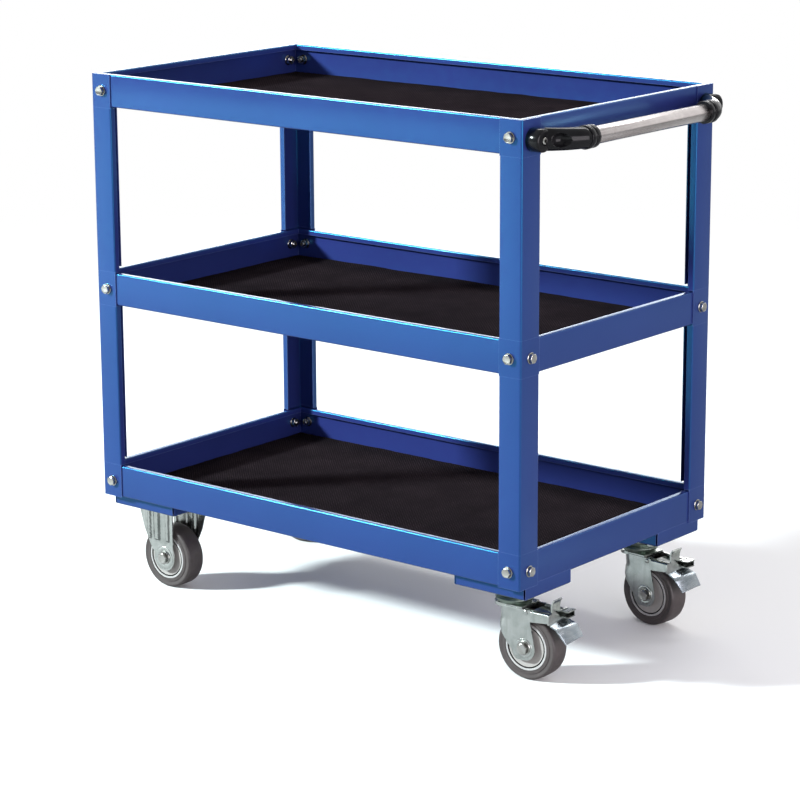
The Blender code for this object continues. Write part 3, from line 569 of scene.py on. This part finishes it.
def washer_rings(start, step, eased):
    """A washer from its face at start, along the bolt in the direction of step, with eased rims."""
    far = start + step * WASHER
    return [(start, SHANK), (start, 0.0080), (start + step * eased, WASHER_RADIUS),
            (far - step * 0.0004, WASHER_RADIUS), (far, 0.0079), (far, 0.0072)]


def bolt_rings():
    """Rings outside the upright (washer, head), through the sheets, and inside (washer, nut, thread)."""
    inside = -(UPRIGHT_SHEET + GAP + TRAY_SHEET + GAP)
    hexagon_radius, head_height, nut_height, dish_foot = 0.0075, 0.0047, 0.0062, 0.0044
    thread_turns, pitch, crest, root = 5, 0.0006, 0.0040, 0.0036
    head_seat, nut_seat = GAP + WASHER, inside - WASHER
    outer = washer_rings(GAP, 1, 0.0003) + hex_head(head_seat, head_height, hexagon_radius, 0.0061)
    outer += [(head_seat + dish_foot, 0.0048), (head_seat + dish_foot, 0.0004)]
    inner = washer_rings(inside, -1, 0.0004) + hex_head(nut_seat, -nut_height, hexagon_radius, 0.0064)
    for k in range(thread_turns):
        start = nut_seat - nut_height - pitch * k
        inner += [(start, crest), (start - pitch / 2, root)]
    inner.append((nut_seat - nut_height - 0.0032, 0.0034))
    return outer, [(GAP, SHANK), (inside, SHANK)], inner


def make_bolts():
    """The tray bolts, each turned differently, as hand-tightened bolts are."""
    first_turn, next_turn = 9, 17
    for number, node in enumerate(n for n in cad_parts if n.startswith("bolt_")):
        _, _, side, end, face = node.split("_")
        sx, sy = dict(ENDS)[end], dict(SIDES)[side]
        low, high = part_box(node)
        mid = [(a + b) / 2 for a, b in zip(low, high)]
        spin = radians(next_turn * number + first_turn)

        def place(d, a, b, face=face, sx=sx, sy=sy, mid=mid, spin=spin):
            across, up = a * cos(spin) - b * sin(spin), a * sin(spin) + b * cos(spin)
            if face == "side":
                return Vector((mid[0] + across, sy * (WIDTH / 2 + d), mid[2] + up))
            return Vector((CENTRE_X + sx * (LENGTH / 2 + d), mid[1] + across, mid[2] + up))
        bm = bmesh.new()
        for rings in bolt_rings():
            lathe(bm, rings, place, 36)
        add(f"{node}_plated", bm, BOLT, "frame", [node], smooth=28)


# ---------------------------------------------------------------- push handle

def elbow_rings(sy, face_x, axis_x, axis_z):
    """Rings along an elbow's neck and sleeve, with a thumb scoop pressed into the outside of its bend."""
    turns, around = 64, 96
    start = Vector((face_x + 0.0120, sy * (ELBOW_Y - 0.0125), axis_z))
    corner = Vector((face_x + 0.0370, sy * (ELBOW_Y - 0.0300), axis_z))
    end = Vector((axis_x, sy * 0.159, axis_z))
    path, radii = [], []
    for k in range(turns + 1):
        t = k / turns
        path.append(start * (1 - t) ** 2 + corner * (2 * t * (1 - t)) + end * t ** 2)
        radii.append((0.0125 + 0.0027 * t, 0.0162 - 0.0010 * t))
    sleeve = ((0.1586, 0.0150), (0.1584, 0.0164), (0.1578, 0.0168), (0.1500, 0.0168), (0.1494, 0.0164),
              (0.1492, 0.0151), (0.1482, 0.0151), (0.1480, 0.0162), (0.1474, 0.0166), (0.1398, 0.0166),
              (0.1392, 0.0162), (0.1390, 0.0130))
    for y, r in sleeve:
        path.append(Vector((axis_x, sy * y, axis_z)))
        radii.append((r, r))
    scoop = Vector((face_x + 0.0380, sy * (ELBOW_Y - 0.0150), axis_z))
    reach = Vector((0.0125, 0.0125, 0.0110))
    rings = []
    for k, point in enumerate(path):
        if k > turns:
            along = Vector((0, -sy, 0))
        else:
            along = (path[min(k + 1, turns)] - path[max(k - 1, 0)]).normalized()
        across = Vector((along.y, -along.x, 0))
        wide, tall = radii[k]
        ring = []
        for i in range(around):
            turn = tau * i / around
            spot = point + across * (wide * cos(turn)) + Vector((0, 0, tall * sin(turn)))
            off = [(a - b) / r for a, b, r in zip(spot, scoop, reach)]
            inside = 1 - off[1] ** 2 - off[2] ** 2
            if inside > 0 and spot.x > scoop.x - reach.x * sqrt(inside):
                spot.x = scoop.x - reach.x * sqrt(inside)
            ring.append(spot)
        rings.append(ring)
    return rings


def make_handle():
    """Satin tube between two glossy elbows, each held by a recessed socket screw."""
    low, high = HANDLE
    axis_x, axis_z = (low[0] + high[0]) / 2, (low[2] + high[2]) / 2
    half = (high[1] - low[1]) / 2
    bm = bmesh.new()
    profile = soft([(-half, TUBE_BORE), (-half, TUBE_RADIUS), (half, TUBE_RADIUS), (half, TUBE_BORE)], 0.0003)
    lathe(bm, profile, lambda d, a, b: Vector((axis_x + a, d, axis_z + b)), 64, closed_ring=True)
    add("handle_tube_satin", bm, STAINLESS, "frame", ["handle_tube"])
    face_x = CENTRE_X + LENGTH / 2
    lobe = [(GAP, 0.0100), (GAP, 0.0160), (GAP + 0.0008, 0.0166), (0.0180, 0.0166), (0.0203, 0.0160),
            (0.0217, 0.0146), (0.0221, 0.0125), (0.0221, 0.0072), (0.0217, 0.0067), (0.0196, 0.0065),
            (0.0196, 0.0005)]
    socket, face, socket_floor = hexagon(0.0026), 0.0229, 0.0209
    head = [(0.0190, 0.0052), (0.0218, 0.0052), (0.0226, 0.0047), (face, 0.0036), (face, 0.0028),
            (face, socket), (socket_floor, socket), (socket_floor, 0.0004)]
    for side, sy in SIDES:
        def place(d, a, b, sy=sy):
            return Vector((face_x + d, sy * ELBOW_Y + a, axis_z + b))
        bm = bmesh.new()
        lathe(bm, lobe, place, 64)
        skin(bm, elbow_rings(sy, face_x, axis_x, axis_z))
        add(f"handle_elbow_{side}", bm, ELBOW, "frame", [f"handle_bracket_{side}"], smooth=38)
        screw = bmesh.new()
        lathe(screw, head, place, 36)
        add(f"handle_screw_{side}", screw, BOLT, "frame")


# ---------------------------------------------------------------- casters

def held(value):
    """A value held between 0 and 1."""
    return min(max(value, 0), 1)


def edge_at(line, z, beyond):
    """Where an edge of falling (height, x) points stands at a height, or beyond, outside the line."""
    for (za, xa), (zb, xb) in zip(line, line[1:]):
        if zb <= z <= za:
            beyond = xa + (xb - xa) * (za - z) / (za - zb)
    return beyond


def round_end(radius, z, least=0):
    """Half the width, at a height, of a round end about the wheel's axis."""
    return sqrt(max(radius ** 2 - (WHEEL_RADIUS - z) ** 2, least))


def wheel_profile():
    """The tyre's outline from bore to bore over the tread, as (across, radius)."""
    w = 0.017
    side = [(w - 0.0010, 0.0362), (w, 0.0368), (w, 0.0395), (w - 0.0002, 0.0405), (w - 0.0010, 0.0408),
            (w - 0.0010, 0.0425), (w - 0.0006, 0.0445), (w - 0.0002, 0.0462), (w - 0.0004, 0.0474),
            (w - 0.0012, 0.0485), (w - 0.0026, 0.0493), (w - 0.0046, 0.0497), (w - 0.0080, 0.0499)]
    return [(-a, b) for a, b in side] + [(0.0, WHEEL_RADIUS)] + side[::-1]


def make_wheel(prefix, matrix):
    """Rubber tyre round a plastic disc, which has a groove inside its pale outer ring, painted near black as
    shade.
    """
    ring, disc, groove = 0, 1, 2

    def place(d, a, b):
        return matrix @ Vector((a, d, b))
    bm = bmesh.new()
    lathe(bm, wheel_profile(), place, 96, closed_ring=True)
    add(f"{prefix}_tyre_rubber", bm, TYRE, f"{prefix}_wheel", [f"{prefix}_tyre"], smooth=32)
    face = [(0.0198, 0.0056), (0.0198, 0.0098), (0.0192, 0.0104), (0.0156, 0.0112), (0.0150, 0.0120),
            (0.0148, 0.0150), (0.0149, 0.0190), (0.0155, 0.0240), (0.0160, 0.0290), (0.0160, 0.0302),
            (0.0120, 0.0304), (0.0120, 0.0321), (0.0164, 0.0323), (0.0169, 0.0327), (0.0170, 0.0352),
            (0.0164, 0.0357), (0.0150, 0.0359)]
    kinds = [disc] * 9 + [groove] * 3 + [ring] * 4
    profile = [(-d, r) for d, r in face] + face[::-1]
    indices = kinds + [ring] + kinds[::-1] + [disc]
    bm = bmesh.new()
    lathe(bm, profile, place, 96, closed_ring=True, indices=indices)
    add(f"{prefix}_hub_disc", bm, [RING, HUB, GROOVE_PAINTED_SHADE], f"{prefix}_wheel", [f"{prefix}_hub"],
        smooth=32)


def make_axle(prefix, matrix, body):
    """Axle bolt through the fork, with its washers, head and nut on the legs' outer faces."""
    turned, washer, washer_radius = 0.3, 0.0012, 0.0104
    head_height, nut_height, hexagon_radius, crown = 0.0050, 0.0066, 0.0088, 0.0074
    seat = FORK_Y + GAP

    def place(d, a, b):
        return matrix @ Vector((a * cos(turned) - b * sin(turned), d, a * sin(turned) + b * cos(turned)))
    head = [(-seat, 0.0046), (-seat, washer_radius), (-seat - washer, washer_radius)]
    head += hex_head(-seat - washer, -head_height, hexagon_radius, crown)
    head += [(-seat - 0.0060, 0.0040), (-seat - 0.0060, 0.0004)]
    nut = [(seat, 0.0046), (seat, washer_radius), (seat + washer, washer_radius)]
    nut += hex_head(seat + washer, nut_height, hexagon_radius, crown)
    nut += [(seat + 0.0078, 0.0050), (seat + 0.0106, 0.0048), (seat + 0.0110, 0.0043)]
    bm = bmesh.new()
    for rings in (head, [(-seat, 0.0049), (seat, 0.0049)], nut):
        lathe(bm, rings, place, 36)
    add(f"{prefix}_axle_plated", bm, BOLT, body, [f"{prefix}_axle_bolt"], smooth=28)


def plate_bolts(bm, matrix, half_x, half_y):
    """Four hexagon heads on washers under a mounting plate."""
    washer, washer_radius = 0.0010, 0.0065
    rings = [(0, washer_radius), (washer, washer_radius)] + hex_head(washer, 0.0036, 0.0056, 0.0046)
    for sx in (-1, 1):
        for sy in (-1, 1):
            def place(d, a, b, sx=sx, sy=sy):
                return matrix @ Vector((sx * half_x + a, sy * half_y + b, PLATE_FOOT - d))
            lathe(bm, rings, place, 24)


def loft_leg(bm, matrix, levels, sign):
    """A pressed side plate with a flange bent round its front edge.

    Each level is its height, front, back, flange depth and bend radius."""
    flange_steps, hair = 12, 0.0001
    t = FORK_SHEET
    rings = []
    for z, front, back, flange, radius in levels:
        radius = max(min(radius, flange - hair), 2 * hair)
        flange = max(flange, t)
        outer = [(back, 0.0), (front + radius, 0.0)]
        inner = [(back, t), (front + max(radius, t), t)]
        for k in range(1, flange_steps):
            turn = radians(90 * k / flange_steps)
            outer.append((front + radius * (1 - sin(turn)), radius * (1 - cos(turn))))
            r = max(radius - t, hair)
            inner.append((front + t + r * (1 - sin(turn)), t + r * (1 - cos(turn))))
        outer += [(front, radius), (front, flange)]
        inner += [(front + t, max(radius, t)), (front + t, max(flange, t))]
        rings.append([matrix @ Vector((x, sign * (-FORK_Y + y), z)) for x, y in outer + inner[::-1]])
    skin(bm, rings)


def make_swivel_fork(side, turning):
    """One pressing: two legs with bent front edges under a round crown, and an arm that reaches the brake."""
    bm = bmesh.new()
    heights = [FORK_TOP, 0.104, 0.0985, 0.092, 0.090, 0.087, 0.083, 0.079, 0.076, 0.072, 0.066, 0.060, 0.055,
               0.050, 0.045, 0.041, 0.038, 0.0355, 0.0335, 0.0322, 0.0314]
    front_line = [(FORK_TOP, -0.0200), (0.0860, -0.0175), (0.0660, -0.0110), (0.0525, 0.0), (0.0420, 0.0110)]
    lowest_front, nearest_front = front_line[-1]
    levels = []
    for z in heights:
        front = edge_at(front_line, z, nearest_front)
        back = 0.0415 + 0.0085 * held((0.0905 - z) / 0.040)
        if z < WHEEL_RADIUS:
            back = TRAIL + round_end(0.0190, z)
            front = max(front if z > lowest_front else -1, TRAIL - round_end(0.0235, z))
            front = min(front, TRAIL - 0.0005)
        closed = held((z - 0.076) / 0.014)
        flange = 0.0035 + 0.0050 * held((z - 0.045) / 0.030)
        flange = flange * (1 - closed) + 0.0229 * closed
        levels.append((z, front, back, flange, flange - 0.0004 - 0.0022 * closed))
    arm = sheet_outline([(0.0, 0.0912), (0.0, FORK_TOP), (0.0075, FORK_TOP)], [0.0032], FORK_SHEET)
    arm_start, arm_end, arm_drop, arm_middle = 0.0415, 0.0720, 0.0032, 0.095
    for sign in (-1, 1):
        loft_leg(bm, turning, levels, sign)

        def place(point, end, x, sign=sign):
            drop = arm_drop * (x - arm_start) / (arm_end - arm_start) if point[1] < arm_middle else 0
            return turning @ Vector((x, sign * (-FORK_Y + point[0]), point[1] + drop))
        bar(bm, arm, place, arm_start, arm_end)

        def boss(d, a, b, sign=sign):
            return turning @ Vector((TRAIL + a, sign * (-FORK_Y + 0.0005 - d), WHEEL_RADIUS + b))
        lathe(bm, [(0, 0.0150), (0.0008, 0.0146), (0.0012, 0.0138), (0.0012, 0.0120), (0.0009, 0.0112)],
              boss, 40)

        def rivet(d, a, b, sign=sign):
            return turning @ Vector((BRAKE_PIN[0] + a, sign * (-FORK_Y - d + 0.0002), BRAKE_PIN[1] + b))
        lathe(bm, [(0, 0.0036), (0.0009, 0.0035), (0.0015, 0.0026), (0.0017, 0.0008)], rivet, 20)
    crown_radius = 0.0222
    turns = [radians(90 + 10 * k) for k in range(19)]
    crown = [Vector((-0.009 + crown_radius * cos(turn), crown_radius * sin(turn))) for turn in turns]
    crown += [Vector((0.0275, -crown_radius)), Vector((0.0275, crown_radius))]
    skin(bm, [[turning @ Vector((p.x, p.y, z)) for p in crown] for z in (0.1060, 0.1110)])
    add(f"{side}_right_fork_pressed", bm, ZINC, f"{side}_right_swivel", [f"{side}_right_fork"])
    race = bmesh.new()
    lower_race = [(0.1104, 0.0100), (0.1104, 0.0226), (0.1140, 0.0262), (0.1182, 0.0290), (0.1222, 0.0262),
                  (0.1222, 0.0100)]
    lathe(race, soft(lower_race, 0.0008, 3), lambda d, a, b: turning @ Vector((a, b, d)), 64)
    add(f"{side}_right_lower_race", race, RACE, f"{side}_right_swivel")


def make_top_plate(side, kingpin):
    """Mounting plate with its bolts, the upper ball race under it, and the kingpin's end."""
    def rising(p, e, z):
        return kingpin @ Vector((p[0], p[1], z))

    def turned(d, a, b):
        return kingpin @ Vector((a, b, d))
    bm = bmesh.new()
    bar(bm, box_outline(-0.048, -0.036, 0.048, 0.036, 0.006, 5), rising, PLATE_FOOT, PLATE_TOP)
    plate_bolts(bm, kingpin, 0.038, 0.027)
    add(f"{side}_right_plate_pressed", bm, ZINC, "frame", [f"{side}_right_top_plate"],
        bevel=0.0004)
    race = bmesh.new()
    low = PLATE_FOOT
    upper_race = [(low, 0.0100), (low, 0.0330), (low - 0.0040, 0.0330), (low - 0.0080, 0.0310),
                  (low - 0.0110, 0.0275), (low - 0.0110, 0.0100)]
    pin = [(0.123, 0.0058), (0.1050, 0.0058), (0.1050, 0.0094), (0.1036, 0.0094), (0.1032, 0.0004)]
    lathe(race, soft(upper_race, 0.0010, 3), turned, 64)
    lathe(race, soft(pin, 0.0005), turned, 40)
    add(f"{side}_right_upper_race", race, RACE, "frame")


def make_brake(side, turning):
    """Double-acting brake: end plate with a bent shelf, release tab, and a curved foot pedal."""
    def lengthwise(p, e, x):
        return turning @ Vector((x, p[0], p[1]))

    def crosswise(p, e, y):
        return turning @ Vector((p[0], y, p[1]))
    bm = bmesh.new()
    bar(bm, box_outline(-0.0255, 0.0925, 0.0255, 0.1083, 0.0018), lengthwise, 0.0733, 0.0757)
    tab = [(0.0737, 0.1060), (0.0733, 0.1180), (0.0745, 0.1240), (0.0775, 0.1292)]
    bar(bm, sheet_outline(tab, [0.02, 0.006], 0.0022), crosswise, -0.0165, 0.0045)
    channel = [(0.0885, 0.0976), (0.0742, 0.0976), (0.0742, 0.1075), (0.0895, 0.1085)]
    bar(bm, sheet_outline(channel, [0.0012, 0.0012], 0.0018, 4), crosswise, 0.0060, 0.0240)
    bar(bm, box_outline(0.0760, 0.0994, 0.0880, 0.1060, 0.0010), crosswise, 0.0225, 0.0240)
    web = [(0.0372, 0.1045), (0.0740, 0.1020), (0.0740, 0.0990), (0.0630, 0.0990), (0.0615, 0.0960),
           (0.0540, 0.0975), (0.0520, 0.1000), (0.0372, 0.1020)]
    bar(bm, [Vector(p) for p in web], crosswise, -0.0185, 0.0185)
    eye = 0.0050
    turns = [radians(90 + 20 * k) for k in range(9)]
    cheek = [Vector((BRAKE_PIN[0] + eye * cos(turn), BRAKE_PIN[1] + eye * sin(turn))) for turn in turns]
    cheek += [Vector((0.0740, 0.0992)), Vector((0.0740, 0.1065))]
    for y0, y1 in ((-0.0192, -0.0172), (0.0172, 0.0192)):
        bar(bm, cheek, crosswise, y0, y1)
    add(f"{side}_right_brake_plate", bm, ZINC, f"{side}_right_brake", bevel=0.0004)
    bm = bmesh.new()
    foot = [(0.0740, 0.1000), (0.0750, 0.0935), (0.0905, 0.0880), (0.1045, 0.0700)]
    line = rounded(foot, [0.004, 0.016], 9)
    under = offset_right(line, 0.0022)
    half_start, widening, narrowing, crowning, skewing = 0.0170, 0.0035, 0.0030, 0.0012, 0.0030
    steps, toe = 20, 0.9
    rows = []
    for k in range(len(line)):
        share = k / (len(line) - 1)
        half = half_start + widening * min(share * 2.2, 1)
        if share > toe:
            half -= narrowing * ((share - toe) / (1 - toe)) ** 2
        ring = []
        for surface, order in ((line, range(steps + 1)), (under, range(steps, -1, -1))):
            for i in order:
                y = -half + 2 * half * i / steps
                crown = crowning * (1 - (y / half) ** 2) * share
                skew = skewing * (y / half) * share
                p = surface[k]
                ring.append(turning @ Vector((p.x + skew + crown * 0.5, y, p.y + crown + skew)))
        rows.append(ring)
    skin(bm, rows)
    add(f"{side}_right_brake_foot", bm, PEDAL, f"{side}_right_brake", [f"{side}_right_brake_pedal"],
        bevel=0.0005)


def make_fixed_fork(side, matrix):
    """Two ribbed legs, alike but half a turn apart, under the mounting plate; the falling sides of the ribs
    and the steps where they end carry painted shade.
    """
    left_line = [(PLATE_FOOT, -0.0515), (0.121, -0.050), (0.095, -0.0425), (0.069, -0.030), (0.0555, -0.0207)]
    heights = [PLATE_FOOT, 0.128, 0.121, 0.114, 0.107, 0.100, 0.094, 0.088, 0.083, 0.0797, 0.0785, 0.0770,
               0.0735, 0.070, 0.065, 0.060, 0.0555, 0.050, 0.045, 0.041, 0.037, 0.034, 0.0315, 0.0298, 0.0288]
    ribs = ((-0.0305, 0.0034, 0.0024), (-0.0140, 0.0060, 0.0030), (0.0090, 0.0034, 0.0024))
    ribs_end, ribs_fade, across, painted_shade_slot = 0.0770, 0.0025, 72, 1
    eye, least, straight_edge, swell_from = 0.0215, 1e-7, 0.0190, 0.0650

    def rib_height(x, z):
        fade = held((z - ribs_end) / ribs_fade)
        fade = fade * fade * (3 - 2 * fade)
        height = 0.0
        for centre, half, tall in ribs:
            share = abs(x - centre) / half
            if share < 1.6:
                slope = 1 if share < 0.6 else 0.5 + 0.5 * cos(pi * min((share - 0.6) / 0.6, 1))
                height = max(height, tall * slope)
        return height * fade

    bm = bmesh.new()
    for turn in (0, pi):
        whole = matrix @ Matrix.Rotation(turn, 4, "Z")
        outer_rows, inner_rows = [], []
        for z in heights:
            left, right = edge_at(left_line, z, -eye), straight_edge
            if z < left_line[-1][0]:
                left = -round_end(eye, z, least)
            if z < swell_from:
                right = min(eye, straight_edge + 0.0022 * (swell_from - z) / 0.010)
            if z < WHEEL_RADIUS:
                right = min(right, round_end(eye, z, least))
            outer, inner = [], []
            for i in range(across + 1):
                x = left + (right - left) * i / across
                y = -FORK_Y - rib_height(x, z)
                outer.append(whole @ Vector((x, y, z)))
                inner.append(whole @ Vector((x, y + FORK_SHEET, z)))
            outer_rows.append(outer)
            inner_rows.append(inner)
        made = skin(bm, [a + b[::-1] for a, b in zip(outer_rows, inner_rows)])
        # Painted shade: faces on the falling side of each rib, and where the ribs fade out below, take the
        # darker zinc copy.
        back = whole.inverted()
        for row in made:
            for vert in row:
                for face in vert.link_faces:
                    spot = back @ face.calc_center_median()
                    falls = rib_height(spot.x - 0.0003, spot.z) - rib_height(spot.x + 0.0003, spot.z)
                    drops = rib_height(spot.x, spot.z + 0.001) - rib_height(spot.x, spot.z - 0.001)
                    if spot.y < -FORK_Y + 0.0002 and (falls > 0.0001 or drops > 0.0003):
                        face.material_index = painted_shade_slot

        def boss(d, a, b):
            return whole @ Vector((a, -FORK_Y + 0.0005 - d, WHEEL_RADIUS + b))
        lathe(bm, [(0, 0.0188), (0.0007, 0.0184), (0.0010, 0.0176), (0.0010, 0.0125), (0.0007, 0.0118)],
              boss, 44)
    bar(bm, box_outline(-0.054, -0.036, 0.054, 0.036, 0.005, 5),
        lambda p, e, z: matrix @ Vector((p[0], p[1], z)), PLATE_FOOT, PLATE_TOP)
    plate_bolts(bm, matrix, 0.044, 0.029)
    add(f"{side}_left_fork_pressed", bm, [ZINC, ZINC_PAINTED_SHADE], "frame", [f"{side}_left_fork"],
        smooth=40)


def make_casters():
    for side, sy in SIDES:
        fixed = Matrix.Translation((FIXED_X, sy * CASTER_Y, 0))
        make_fixed_fork(side, fixed)
        wheel = fixed @ Matrix.Translation((0, 0, WHEEL_RADIUS))
        make_axle(f"{side}_left", wheel, "frame")
        make_wheel(f"{side}_left", wheel)
        kingpin = Matrix.Translation((KINGPIN_X, sy * CASTER_Y, 0))
        turning = kingpin @ Matrix.Rotation(SWIVEL_ANGLE[side], 4, "Z")
        make_top_plate(side, kingpin)
        make_swivel_fork(side, turning)
        make_brake(side, turning)
        wheel = turning @ Matrix.Translation((TRAIL, 0, WHEEL_RADIUS))
        make_axle(f"{side}_right", wheel, f"{side}_right_swivel")
        make_wheel(f"{side}_right", wheel)


# ---------------------------------------------------------------- stage, light and camera

FLOOR_FADE = (1.1, 3.6)
FLOOR_SIZE = 30
FLOOR_DROP = 0.0002
FLOOR_SEEN = (0.94, 0.94, 0.94)
FLOOR_LIT = ((0.36, 0.36, 0.36), (0.40, 0.40, 0.40))
SKY_STOPS = ((0.0, (0.22, 0.22, 0.23)), (0.32, (0.29, 0.29, 0.29)), (0.75, (0.42, 0.42, 0.42)))
BRIGHT_BEHIND = (0.25, 0.85)
WHITE = (1, 1, 1)
CAMERA_PLACE = (2.6529, -3.2914, 1.3873)
CAMERA_YAW, CAMERA_PITCH, CAMERA_ROLL = radians(39.14), radians(14.04), radians(-0.29)
LENS_MM = 126.85
SENSOR_MM = 36


def area_light(name, place, target, size, power, colour=(1, 1, 1)):
    data = bpy.data.lights.new(name, "AREA")
    data.shape = "RECTANGLE"
    data.size, data.size_y = size
    data.energy = power
    data.color = colour
    light = bpy.data.objects.new(name, data)
    light.location = place
    light.rotation_euler = (Vector(target) - Vector(place)).to_track_quat("-Z", "Y").to_euler()
    bpy.context.collection.objects.link(light)


def fade_out(g):
    """The floor melts into the plain background well away from the cart."""
    length = g.node("ShaderNodeVectorMath", operation="LENGTH")
    g.link(g.coords, length.inputs[0])
    far = g.node("ShaderNodeMapRange", interpolation_type="SMOOTHSTEP")
    far.inputs["From Min"].default_value, far.inputs["From Max"].default_value = FLOOR_FADE
    g.link(length.outputs["Value"], far.inputs["Value"])
    seen = g.node("ShaderNodeLightPath").outputs["Is Camera Ray"]
    blend = g.node("ShaderNodeMixShader")
    g.link(g.math("MULTIPLY", far.outputs["Result"], seen), blend.inputs["Fac"])
    g.link(g.shader.outputs["BSDF"], blend.inputs[1])
    g.link(g.node("ShaderNodeBsdfTransparent").outputs["BSDF"], blend.inputs[2])
    g.link(blend.outputs["Shader"], g.tree.nodes["Material Output"].inputs["Surface"])


def make_floor():
    """Paper floor that looks white to the camera and throws less light on the cart."""
    paper = material("pale_floor", (0.93, 0.93, 0.93), 0.85)
    g = Graph(paper)
    seen = g.node("ShaderNodeLightPath").outputs["Is Camera Ray"]
    lit = g.mix(g.noise(3.0, detail=2.0), *FLOOR_LIT)
    roughness = g.span(g.noise(40.0), 0.3, 0.7, 0.8, 0.95)
    g.finish(g.mix(seen, lit, FLOOR_SEEN), roughness, g.bump(g.noise(300.0), 0.02, 0.0005))
    bm = bmesh.new()
    bmesh.ops.create_grid(bm, x_segments=1, y_segments=1, size=FLOOR_SIZE)
    mesh = bpy.data.meshes.new("floor")
    bm.to_mesh(mesh)
    bm.free()
    mesh.materials.append(paper)
    fade_out(g)
    floor = bpy.data.objects.new("floor", mesh)
    floor.location = (0, 0, -FLOOR_DROP)
    bpy.context.collection.objects.link(floor)


def make_world():
    """Grey sky that is brighter overhead and behind the cart, and plain white to the camera."""
    world = bpy.data.worlds.new("studio")
    bpy.context.scene.world = world
    world.use_nodes = True
    g = Graph(world)
    up = g.node("ShaderNodeSeparateXYZ")
    g.link(g.place.outputs["Generated"], up.inputs[0])
    ramp = g.node("ShaderNodeValToRGB")
    g.link(up.outputs["Z"], ramp.inputs["Fac"])
    stops = ramp.color_ramp.elements
    stops.new(SKY_STOPS[1][0])
    for stop, (position, colour) in zip(stops, SKY_STOPS):
        stop.position, stop.color = position, (*colour, 1)
    backdrop = g.mix(g.span(up.outputs["Y"], *BRIGHT_BEHIND, 0, 1), ramp.outputs["Color"], WHITE)
    seen = g.node("ShaderNodeLightPath").outputs["Is Camera Ray"]
    g.link(g.mix(seen, backdrop, WHITE), g.tree.nodes["Background"].inputs["Color"])


def make_lights():
    area_light("key_left_front", (-4.5, -4.8, 3.4), (0, 0, 0.45), (0.7, 0.7), 1150, (0.88, 1.0, 1.0))
    area_light("fill_right", (3.9, -1.1, 1.0), (0, 0, 0.45), (4.0, 2.4), 150, (1.0, 0.94, 1.0))
    area_light("top_back", (-0.4, 2.0, 3.0), (0, 0, 0.6), (2.6, 0.4), 33)
    area_light("rim_rear_left", (-9.0, 11.0, 2.2), (0, 0, 0.5), (9.0, 3.0), 420)


def make_camera():
    """A long lens, as in product photographs, a little above the top tray."""
    data = bpy.data.cameras.new("camera")
    data.lens = LENS_MM
    data.sensor_width = SENSOR_MM
    data.clip_end = 100
    camera = bpy.data.objects.new("camera", data)
    turn = (Matrix.Rotation(CAMERA_YAW, 4, "Z") @ Matrix.Rotation(pi / 2 - CAMERA_PITCH, 4, "X")
            @ Matrix.Rotation(CAMERA_ROLL, 4, "Z"))
    camera.matrix_world = Matrix.Translation(CAMERA_PLACE) @ turn
    bpy.context.collection.objects.link(camera)
    bpy.context.scene.camera = camera
    bpy.context.scene.view_settings.view_transform = "Standard"


make_camera()
make_floor()
make_world()
make_lights()
make_uprights()
make_trays()
make_mats()
make_brackets()
make_bolts()
make_handle()
make_casters()
